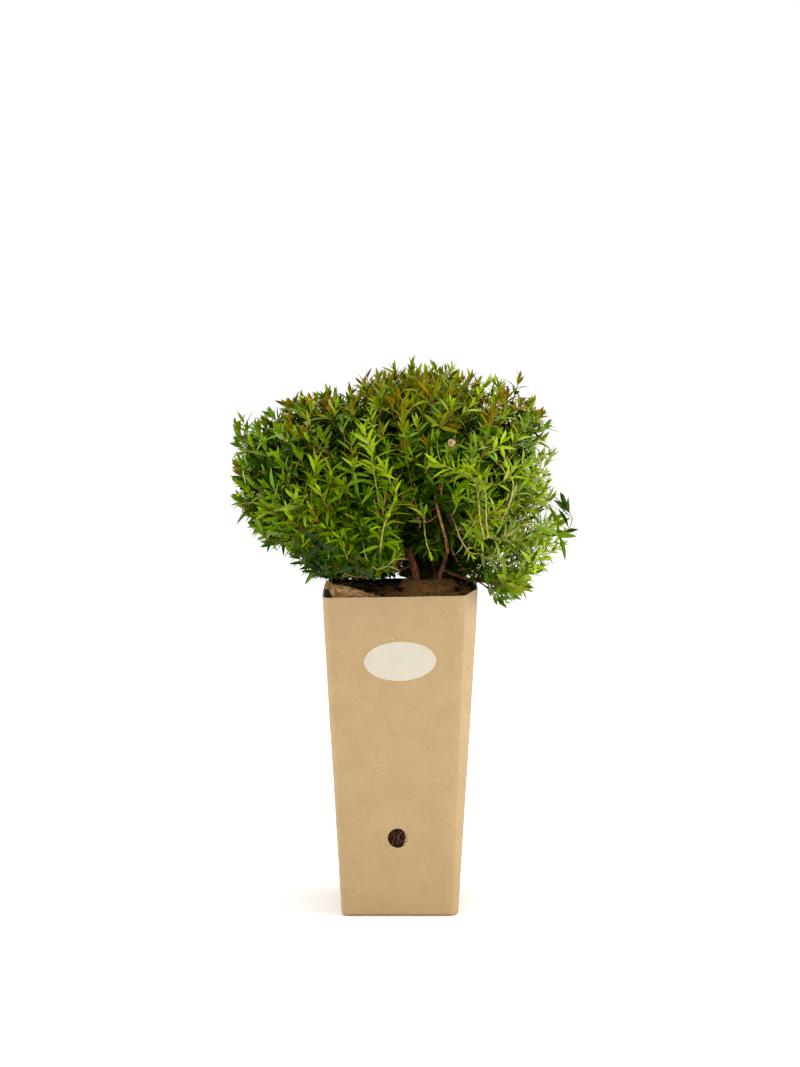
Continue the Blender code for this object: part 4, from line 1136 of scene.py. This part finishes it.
def smooth_path(points, radii, step):
    """The curve through points, sampled about every step, with its radii."""
    made = []
    made_radii = []
    for index, (a, b) in enumerate(zip(points, points[1:])):
        before = points[max(index - 1, 0)]
        after = points[min(index + 2, len(points) - 1)]
        length = (b - a).length
        slope_a = (b - before).normalized() * length / 3
        slope_b = (after - a).normalized() * length / 3
        count = max(int(length / step), 1)
        made += interpolate_bezier(a, a + slope_a, b - slope_b, b, count + 1)[:-1]
        made_radii += [mix(radii[index], radii[index + 1], part / count) for part in range(count)]
    return made + [Vector(points[-1])], made_radii + [radii[-1]]


def bark_tube(shape, points, radii, sides, relief, seed, wander):
    """Add a limb with ridged, flaking bark and small kinks to a shape."""
    vertices = []
    for index, (point, first, second) in enumerate(frames(points, Vector((1, 0, 0)))):
        inner = ease(min(index, len(points) - 1 - index) / 6)
        drift = noise.noise_vector(point * 70 + Vector((seed, 0, 0))) * wander * inner
        knot = max(noise.noise(point * 160 + Vector((0, seed, 0))), 0)
        for angle in circle(sides):
            spoke = first * cos(angle) + second * sin(angle)
            ridge = wave(cos(angle) * 2.2, sin(angle) * 2.2, index * 0.045 + seed)
            flake = noise.noise((point + spoke * radii[index]) * 900)
            swell = 1 + relief * (ridge * 1.2 + flake * 0.5) + relief * 0.8 * knot
            vertices.append(tuple(point + drift + spoke * radii[index] * swell))
    add_tube(shape, vertices, len(points), sides)


def build_limbs(limbs, old_bark, bough_skin):
    """Bark over the stems and boughs, with a collar where each bough leaves its stem."""
    noise.seed_set(BARK_SEED)
    stems, boughs = Shape(), Shape()
    names = [name for name in limbs if name.startswith("bough")]
    for number, stem in enumerate(STEMS):
        bark_tube(stems, *smooth_path(*limbs[stem[0]], 0.0007), 22, 0.1, number * 7.3, 0.0004)
    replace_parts(stems.build("stem_bark", "bark", old_bark), *[stem[0] for stem in STEMS])
    for number, name in enumerate(names):
        points, radii = limbs[name]
        leave = (points[1] - points[0]).normalized()
        points = [points[0] - leave * 0.0012] + points
        radii = [radii[0] * 1.35, radii[0] * 1.25] + radii[1:]
        bark_tube(boughs, *smooth_path(points, radii, 0.0011), 12, 0.09, 40 + number * 3.1, 0.0007)
    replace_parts(boughs.build("bough_bark", "bark", bough_skin), *names)


# Foliage

def lobe_levels(points, lobes):
    """Each point's distance from the nearest lobe's middle as a share of the lobe's reach."""
    levels = []
    for middle, reach in lobes:
        scaled = np.abs((points - np.array(middle)) / np.array(reach)) ** LOBE_SQUARENESS
        levels.append(scaled.sum(axis=-1) ** (1 / LOBE_SQUARENESS))
    return np.min(levels, axis=0)


def in_crown(points, limit=1, overshoot=0):
    """Whether each point is in the crown's outline and box, off the pot and in no opening."""
    boxed = ((points >= CROWN_LOW - overshoot) & (points <= CROWN_HIGH + overshoot)).all(axis=-1)
    wall = POT_HALF + POT_BULGE + POT_CLEARANCE
    x, y, z = points[..., 0], points[..., 1], points[..., 2]
    clear = (z > RIM_CLEAR_Z) | (np.maximum(np.abs(x), np.abs(y)) > wall)
    clear &= (z > FRONT_CLEAR_Z) | (y > FRONT_CLEAR_Y) | (x > FRONT_CLEAR_X) | (x < -wall)
    ripple = np.sin(x * SHOULDER_WAVES[0]) * np.sin(y * SHOULDER_WAVES[1])
    shoulder = SHOULDER_Z + SHOULDER_SLOPE * x + SHOULDER_RIPPLE * ripple
    clear &= (x > SHOULDER_END) | (z < shoulder + overshoot)
    slope = np.where(x < LOW_TIP_X, LOW_TIP_LEFT, LOW_TIP_RIGHT)
    clear &= (x < LOW_TIP_START) | (z > LOW_TIP_Z + np.abs(x - LOW_TIP_X) * slope)
    levels = np.maximum(lobe_levels(points, LOBES), 2 - lobe_levels(points, OPENINGS))
    return boxed & clear & (levels <= limit)


def in_cell(centre, points, margin):
    """Whether each point is nearer to one mass's middle than to any other's, give or take."""
    distances = [np.linalg.norm(points - np.array(mass[3]), axis=-1) for mass in MASSES]
    own = np.linalg.norm(points - np.array(centre), axis=-1)
    return own <= np.min(distances, axis=0) + margin


def growth(place, rng):
    """The direction in which a shoot at a place grows: away from the foot, and up or hanging."""
    lift = mix(HANG, UPRIGHT, ease((place.z - HANG_Z) / (UPRIGHT_Z - HANG_Z)))
    sway = Vector((rng.gauss(0, SWAY), rng.gauss(0, SWAY), rng.gauss(0, SWAY) + lift))
    return ((place - GROWTH_ROOT).normalized() + sway).normalized()


def twig_targets(centre, tries, leads, rng):
    """Tips of a mass's shoots, on rays at the golden angle, short of the mass's outside."""
    index = np.arange(tries)
    z = 1 - 2 * (index + 0.5) / tries
    angle = rng.uniform(0, tau) + index * GOLDEN_ANGLE
    level = np.sqrt(1 - z * z)
    directions = np.stack([level * np.cos(angle), level * np.sin(angle), z], axis=1)
    distances = np.arange(0, REACH_MOST, REACH_STEP)
    points = np.array(centre) + directions[:, None, :] * distances[None, :, None]
    inside = in_crown(points)
    count = np.argmin(inside & in_cell(centre, points, SEAM_OVERLAP), axis=1)
    targets = [Vector(lead) for lead in leads]
    for row, steps in enumerate(count):
        outside = not inside[row, steps]
        share = rng.uniform(*(TWIG_REACH if outside else INNER_TWIG_REACH))
        if outside and rng.random() < LONG_SHOOTS:
            share = rng.uniform(*LONG_REACH)
        reach = distances[max(steps - 1, 0)] * share
        if reach > TWIG_SHORTEST:
            targets.append(Vector(centre) + Vector(directions[row]) * reach)
    return targets


def shoot_path(start, end, heading, count):
    """A shoot from a limb that arches outward first and ends along its heading."""
    span = (end - start).length
    leave = ((end - start).normalized() * 2 - heading).normalized()
    return [bezier(start, leave * span * ARCH, heading * span * ARCH, end, share)
            for share in taper(0, 1, count)]


def across(direction, turn):
    """A unit vector square to a direction, turned about it."""
    first = direction.cross(Vector((0, 0, 1)))
    if first.length < 0.001:
        first = Vector((1, 0, 0))
    first.normalize()
    return first * cos(turn) + direction.cross(first) * sin(turn)


def pick(draw, shares):
    """The name that a draw from 0 to 1 falls on."""
    for name, share in shares.items():
        draw -= share
        if draw <= 0:
            break
    return name


def crown_part(tip, rng):
    """The part of the crown that a spray's tip is in, with uneven borders between them."""
    if tip.z > rng.uniform(0.445, 0.475):
        return "top"
    if tip.x > RIGHT_SIDE and tip.z < RIGHT_TOP:
        return "low right" if tip.z < rng.uniform(0.33, 0.35) else "right"
    if tip.z < 0.34 and abs(tip.x) < 0.075:
        return "foot"
    if tip.z < rng.uniform(0.335, 0.36):
        return "low"
    return "heart" if tip.z < 0.435 and abs(tip.x) < 0.055 else "round"


def spray_colours(tip, rng):
    """The colours of a spray's old, middle and youngest leaves, by its place in the crown."""
    draw = rng.random()
    # The set of the crown's part brings painted light at the right and painted shade low down and
    # in the heart
    mains, youngs, olds = SPRAYS[crown_part(tip, rng)]
    main = pick(draw, mains)
    young = pick(rng.random(), youngs) if youngs else main
    return pick(rng.random(), olds) if isinstance(olds, dict) else olds, main, young


def leaf_sizes(place):
    """Leaf size and breadth at a place: large and broad at the left, smaller elsewhere."""
    aside = ease((abs(place.x) - SIDE_LEAVES_START) / SIDE_LEAVES_RUN)
    above = ease((place.z - TOP_LEAVES_START) / TOP_LEAVES_RUN)
    below = ease((HANGING_LEAVES_Z - place.z) / HANGING_LEAVES_RUN)
    below *= ease((place.x - HANGING_LEAVES_X) / HANGING_LEAVES_RUN)
    rows = zip(MIDDLE_LEAVES, LEFT_LEAVES if place.x < 0 else RIGHT_LEAVES, TOP_LEAVES,
               HANGING_LEAVES)
    return [mix(middle, side, aside) * mix(1, top, above) * mix(1, low, below)
            for middle, side, top, low in rows]


class Foliage:
    """Leaves by colour, and the shoots that carry them."""

    def __init__(self, limbs):
        self.leaves = {name: [] for name in LEAF_COLOURS}
        self.woody, self.brown, self.pale = Shape(), Shape(), Shape()
        self.limbs = [points for points, radii in limbs.values()]

    def foot(self, wanted):
        """The place on any stem or bough that is nearest to a wanted one."""
        return nearest_place(wanted, self.limbs, LIMB_STARTS)

    def young(self, place):
        """The shape that young shoots at a place go to."""
        return self.pale if place.x > PALE_SHOOTS_X and place.z < RIGHT_TOP else self.brown

    def spray(self, points, first, rng, colours, size, narrow=1, free=False, apart=1):
        """Crossed pairs of leaves along a shoot from a share of it, smaller towards its tip.

        Free leaves may stand out of the crown.
        """
        def leaf(colour, direction, normal, scale, bend):
            self.leaves[colour].append((*place, *direction, *normal, scale, bend, narrow, free))

        old, main, young = colours
        length = path_length(points)
        turn = rng.uniform(0, pi)
        # The painted shade colour for this spray's leaves deep in the crown
        inner = pick(rng.random(), PAINTED_SHADE_LEAVES)
        reached = length * first
        while reached < length * LAST_LEAVES:
            share = reached / length
            youth = max(share - first, 0) / (1 - first)
            place, along, _ = path_point(points, share)
            level = lobe_levels(np.array(place), SHADE_LOBES)
            colour = old if youth < OLD_LEAVES else main if youth < MAIN_LEAVES else young
            # Painted shade: leaves deep in the shaded lobes take dark colours, those a little less
            # deep a half shade
            if level < SHADE_LEVEL:
                colour = inner
            elif level < PAINTED_HALF_SHADE_LEVEL:
                colour = "deep" if inner == "shade" else old
            spread = radians(mix(*LEAF_SPREAD, youth ** 1.6))
            scale = size * mix(1, YOUNG_LEAF_SIZE, youth ** 3)
            turn += pi / 2 + rng.gauss(0, 0.16)
            for side in (0, pi):
                lean = spread + rng.gauss(0, 0.12)
                aside = across(along, turn + side + rng.gauss(0, 0.12))
                direction = (along * cos(lean) + aside * sin(lean)).normalized()
                normal = (along - direction * along.dot(direction)).normalized()
                leaf(colour, direction, normal, scale * rng.uniform(0.84, 1.12),
                     rng.uniform(*LEAF_CURL))
            spacing = mix(LEAF_NODE_SPACING, LEAF_TIP_SPACING, youth) * size * apart
            reached += spacing * rng.uniform(0.85, 1.15)
        place, along, _ = path_point(points, 1)
        for side in circle(3):
            aside = across(along, turn + side)
            leaf(young, (along + aside * END_LEAF_LEAN).normalized(),
                 (along * END_LEAF_LEAN - aside).normalized(),
                 size * rng.uniform(*END_LEAF_SIZE), 0.05)

    def build(self, skins):
        """Three shoot pieces and leaf pieces by colour, in place of all the masses."""
        pieces = [self.woody.build("woody_twigs", "bark", skins["woody_shoots"]),
                  self.brown.build("brown_shoots", "bark", skins["brown_shoots_skin"]),
                  self.pale.build("pale_shoots", "leaves", skins["pale_shoots_skin"])]
        for name, colour in LEAF_COLOURS.items():
            skin = surface("leaf_" + name, "leaf", colour, gloss=LEAF_SHINE.get(name))
            pieces += build_leaves(name, np.array(self.leaves[name]), skin)
        for piece in pieces:
            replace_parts(piece, *["foliage_" + mass[0] for mass in MASSES])


def leaf_spine(rows, share):
    """Points on the middle lines of leaves, at a share of their length."""
    length = rows[:, 9:10] * LEAF_LENGTH
    drop = length * rows[:, 10:11] * share ** 2 * rows[:, 6:9]
    return rows[:, 0:3] + rows[:, 3:6] * (length * share) - drop


def leaf_arrays(rows):
    """Vertices of leaves, as an array of leaf by vertex by axis, and the faces of one leaf."""
    normal = rows[:, 6:9]
    side = np.cross(rows[:, 3:6], normal)
    side /= np.linalg.norm(side, axis=1)[:, None]
    width = rows[:, 9:10] ** 0.7 * LEAF_WIDTH * rows[:, 11:12]
    columns = [leaf_spine(rows, 0)]
    for share, broad in zip(LEAF_STATIONS, LEAF_WIDTHS):
        middle = leaf_spine(rows, share)
        half = width * broad / 2
        lift = normal * half * LEAF_FOLD
        columns += [middle + side * half + lift, middle, middle - side * half + lift]
    columns.append(leaf_spine(rows, 1))
    last = len(columns) - 4
    quads = []
    for low in range(1, last, 3):
        quads += [(low, low + 1, low + 4, low + 3), (low + 1, low + 2, low + 5, low + 4)]
    triangles = [(0, 2, 1), (0, 3, 2), (last, last + 1, last + 3), (last + 1, last + 2, last + 3)]
    return np.stack(columns, axis=1), np.array(quads), np.array(triangles)


def fitted_leaves(rows):
    """Leaves shortened until they keep to the crown, without those that can't."""
    kept = []
    for scale in LEAF_TRIALS:
        trial = rows.copy()
        trial[:, 9] *= scale
        limits = np.where(trial[:, 12] > 0, FREE_LEVEL, LEAF_LEVEL)
        good = in_crown(leaf_spine(trial, 1), limits, LEAF_OVERSHOOT)
        kept.append(trial[good])
        rows = rows[~good]
    return np.concatenate(kept)


def build_leaves(colour, rows, skin):
    """Joined leaves of one colour, in pieces that keep under the limit of triangles."""
    vertices, quads, triangles = leaf_arrays(fitted_leaves(rows))
    each = 2 * len(quads) + len(triangles)
    chunks = max(ceil(len(vertices) * each / PIECE_TRIANGLES), 1)
    pieces = []
    for number, points in enumerate(np.array_split(vertices, chunks), 1):
        offsets = (np.arange(len(points)) * points.shape[1])[:, None, None]
        faces = (offsets + quads).reshape(-1, 4), (offsets + triangles).reshape(-1, 3)
        name = f"leaves_{colour}" + (f"_{number}" if chunks > 1 else "")
        pieces.append(Shape().add(points.reshape(-1, 3), *faces).build(name, "leaves", skin))
    return pieces


def hangs_bare(points):
    """Whether too much of a low shoot is outside the crown, where its leaves are left out."""
    outer = [point for point in points[len(points) // 2:] if point.z < BARE_Z]
    return bool(outer) and in_crown(np.array(outer)).mean() < BARE_SHARE


def grow_mass(foliage, mass, limbs):
    """Twigs, side shoots and leaves of one mass."""
    name, _, _, centre, _, tries, leads = mass
    rng = random.Random(f"foliage_{name} fine")
    points, radii = limbs["bough_" + name]
    approach = (points[-1] - points[-2]).normalized()
    foot = points[-1] - approach * 0.001
    middle = Vector(centre)
    top = middle + mass_approach(middle) * MASS_STEM * MASS_STEM_RISE
    stem = [foot, foot + approach * MASS_STEM * MASS_STEM_ENTRY, middle, top]
    tube(foliage.woody, stem, taper(radii[-1], TWIG_RADIUS, len(stem)), 7)
    limb = points[:-1] + stem
    for target in twig_targets(centre, tries, leads, rng):
        heading = growth(target, rng)
        end = target - heading * LEAF_LENGTH * 0.5
        start = nearest_place(target - heading * rng.uniform(*SHOOT_SPAN), [limb], OWN_LIMB_STARTS)
        shoot = shoot_path(start, end, heading, TWIG_POINTS)
        if (end - start).length < TWIG_SHORTEST or hangs_bare(shoot):
            continue
        radii = taper(TWIG_RADIUS * rng.uniform(0.75, 1.05), TWIG_TIP_RADIUS, len(shoot))
        split = TWIG_POINTS // 2
        tube(foliage.woody, shoot[:split + 1], radii[:split + 1], 5)
        tube(foliage.young(target), shoot[split:], radii[split:], 5)
        size, narrow = leaf_sizes(target)
        size *= rng.uniform(0.88, 1.12)
        narrow *= rng.uniform(0.9, 1.1)
        first = rng.uniform(*FIRST_LEAVES)
        foliage.spray(shoot, first, rng, spray_colours(target, rng), size, narrow)
        grow_side_shoots(foliage, shoot, rng, size, narrow)


def grow_side_shoots(foliage, points, rng, size, narrow):
    """Short leafy shoots along a twig, which turn up beside it."""
    turn = rng.uniform(0, tau)
    for share in SIDE_SHOOT_PLACES:
        turn += GOLDEN_ANGLE
        start, along, _ = path_point(points, share + rng.uniform(-0.05, 0.05))
        length = rng.uniform(*SIDE_SHOOT_LENGTH) * mix(1.15, 0.7, share)
        if rng.random() < SIDE_SHOOT_GAPS:
            continue
        leave = along * cos(SIDE_SHOOT_SPREAD) + across(along, turn) * sin(SIDE_SHOOT_SPREAD)
        heading = (growth(start, rng) + leave * SIDE_SHOOT_UPTURN).normalized()
        for _ in range(SIDE_SHOOT_TRIALS):
            end = start + (leave + heading).normalized() * length
            if in_crown(np.array(end)[None], SIDE_SHOOT_LEVEL)[0]:
                break
            length *= SIDE_SHOOT_CUT
        else:
            continue
        shoot = shoot_path(start, end, heading, SIDE_SHOOT_POINTS)
        radii = taper(SIDE_SHOOT_RADIUS, SIDE_SHOOT_TIP_RADIUS, len(shoot))
        tube(foliage.young(end), shoot, radii, 3)
        foliage.spray(shoot, SIDE_SHOOT_FIRST_LEAVES, rng, spray_colours(end, rng),
                      size * rng.uniform(0.82, 1), narrow)


def route_from(places):
    """A route's points from millimetres."""
    return [Vector([value / 1000 for value in place]) for place in places]


def grow_fork(foliage):
    """The bare fork that goes on from the right stem into the crown."""
    route = route_from(FORK)
    route.insert(0, foliage.foot(route[0]))
    points, _ = smooth_path(route, [FORK_RADIUS] * len(route), ROUTE_STEP)
    tube(foliage.brown, points, taper(FORK_RADIUS, FORK_TIP_RADIUS, len(points)), 8)


def grow_main_shoots(foliage):
    """The arching and bare shoots in front and at the sides, each from the nearest limb."""
    rng = random.Random(19)
    for skin, bare, colours, size, narrow, apart, places in MAIN_SHOOTS:
        route = route_from(places)
        heading = (route[1] - route[0]).normalized()
        inward = Vector((0, MAIN_SHOOT_DEPTH, 0))
        foot = foliage.foot(route[0] + inward - heading * MAIN_SHOOT_LEAD)
        lead = (route[0] - foot).length
        outward = (heading - Vector((0, MAIN_SHOOT_OUTWARD, 0))).normalized()
        route = shoot_path(foot, route[0], outward, MAIN_SHOOT_LEAD_POINTS)[:-1] + route
        points, _ = smooth_path(route, [MAIN_SHOOT_RADIUS] * len(route), ROUTE_STEP)
        shape = foliage.pale if skin == "pale" else foliage.brown
        tube(shape, points, taper(MAIN_SHOOT_RADIUS, TWIG_TIP_RADIUS, len(points)), 6)
        length = path_length(points)
        first = (lead + (length - lead) * bare) / length
        foliage.spray(points, first, rng, colours.split(), size, narrow, True, apart)


def grow_thickets(foliage):
    """Short dark shoots round the feet of the stems."""
    rng = random.Random(23)
    for count, lows, highs, colours in THICKETS:
        for _ in range(count):
            end = Vector([rng.uniform(low, high) for low, high in zip(lows, highs)])
            heading = growth(end, rng)
            start = foliage.foot(end - heading * THICKET_SPAN)
            if (end - start).length < THICKET_LEAST:
                continue
            points = shoot_path(start, end, heading, TWIG_POINTS)
            tube(foliage.woody, points, taper(THICKET_RADIUS, TWIG_TIP_RADIUS, len(points)), 5)
            # Their leaves take the dark colours of painted shade from the table
            foliage.spray(points, THICKET_FIRST_LEAVES, rng, colours.split(),
                          rng.uniform(*THICKET_LEAVES), free=True)


def grow_withered_shoot(foliage):
    """The shoot that carries the withered leaf at its end."""
    start = foliage.foot(WITHERED_PLACE - WITHERED_HEADING * WITHERED_SHOOT_SPAN)
    points = shoot_path(start, WITHERED_PLACE, WITHERED_HEADING, TWIG_POINTS * 2)
    tube(foliage.brown, points, taper(WITHERED_SHOOT_RADIUS, TWIG_TIP_RADIUS, len(points)), 6)
    colours = ("mid", "mid", "fresh")
    foliage.spray(points[:-2], 0.45, random.Random(29), colours, 0.7, 0.85, True)


def build_withered_leaf(skin, rings=9, sides=18):
    """A small withered, curled-up leaf in front of the crown."""
    vertices = []
    for share in taper(0, 1, rings):
        tilt = mix(0.15, 2.5, share)
        for angle in circle(sides):
            x, z = cos(angle), sin(angle)
            ruffle = 1 + WITHERED_RUFFLE * wave(x * 2, z * 2, share * 3)
            reach = WITHERED_RADIUS * sin(tilt) * ruffle
            out = WITHERED_RADIUS * cos(tilt) * ruffle
            vertices.append(tuple(WITHERED_PLACE + Vector((x * reach, -out, z * reach))))
    Shape().add(vertices, ring_quads(rings, sides)).build("withered_leaf", "leaves", skin)


def build_foliage(limbs, skins):
    """All twigs and leaves."""
    build_withered_leaf(skins["withered_leaf"])
    foliage = Foliage(limbs)
    grow_thickets(foliage)
    for mass in MASSES:
        grow_mass(foliage, mass, limbs)
    grow_main_shoots(foliage)
    grow_fork(foliage)
    grow_withered_shoot(foliage)
    foliage.build(skins)


# Stage

CAMERA_PLACE = (0, -2, 0.54)
CAMERA_PITCH = radians(5.47)
CAMERA_LENS = 73
SENSOR_WIDTH = 36
FLOOR_SIZE = 12
LIGHT_TARGET = Vector((0, 0, 0.35))
SURROUNDINGS = 1.06
# Soft square lights: name, place, size and power
LIGHTS = (
    ("key", (-0.35, -2.4, 0.95), 1.2, 9),
    ("side_right", (2.1, -0.5, 0.9), 1.2, 34),
    ("side_left", (-2.2, -0.3, 1.1), 1.2, 18),
    ("top", (0.1, 0.1, 2.6), 0.9, 16),
)


def build_stage(floor_skin):
    """A camera at the photograph's height, distance and tilt, a plain floor and soft light."""
    scene = bpy.context.scene
    camera = bpy.data.cameras.new("camera")
    camera.lens = CAMERA_LENS
    camera.sensor_width = SENSOR_WIDTH
    scene.camera = add_object("camera", camera, CAMERA_PLACE, (pi / 2 - CAMERA_PITCH, 0, 0))
    work = bmesh.new()
    bmesh.ops.create_grid(work, x_segments=2, y_segments=2, size=FLOOR_SIZE)
    add_object("floor", mesh_from("floor", work, floor_skin))
    for name, place, size, power in LIGHTS:
        light = bpy.data.lights.new(name, "AREA")
        light.size = size
        light.energy = power
        turn = (LIGHT_TARGET - Vector(place)).to_track_quat("-Z", "Y").to_euler()
        add_object(name, light, place, turn)
    scene.world = bpy.data.worlds.new("studio")
    scene.world.use_nodes = True
    background = scene.world.node_tree.nodes["Background"].inputs
    background["Color"].default_value = (1, 1, 1, 1)
    background["Strength"].default_value = SURROUNDINGS
    scene.view_settings.view_transform = "Standard"


def main():
    """Dress the frame."""
    skins = {name: surface(name, *row) for name, row in MATERIALS.items()}
    card = skins["speckled_card"].node_tree.nodes["Principled BSDF"].inputs
    card["Coat Weight"].default_value = CARD_COAT
    card["Coat Roughness"].default_value = CARD_COAT_ROUGHNESS
    build_stage(skins["pale_floor"])
    build_sleeve(skins["speckled_card"], skins["cut_card"])
    build_inner_ply(skins["torn_card"])
    build_liner(skins["black_film"])
    build_label(skins["cream_paper"], skins["label_rim"])
    build_mat(skins["shaded_coir"], skins["lit_brown_felt"], skins["tan_felt"])
    build_fibres(skins["tan_coir"], skins["brown_coir"])
    build_compost(skins["dark_compost"], skins["pale_roots"])
    limbs = plan_limbs()
    build_limbs(limbs, skins["old_bark"], skins["bough_skin"])
    build_foliage(limbs, skins)


main()
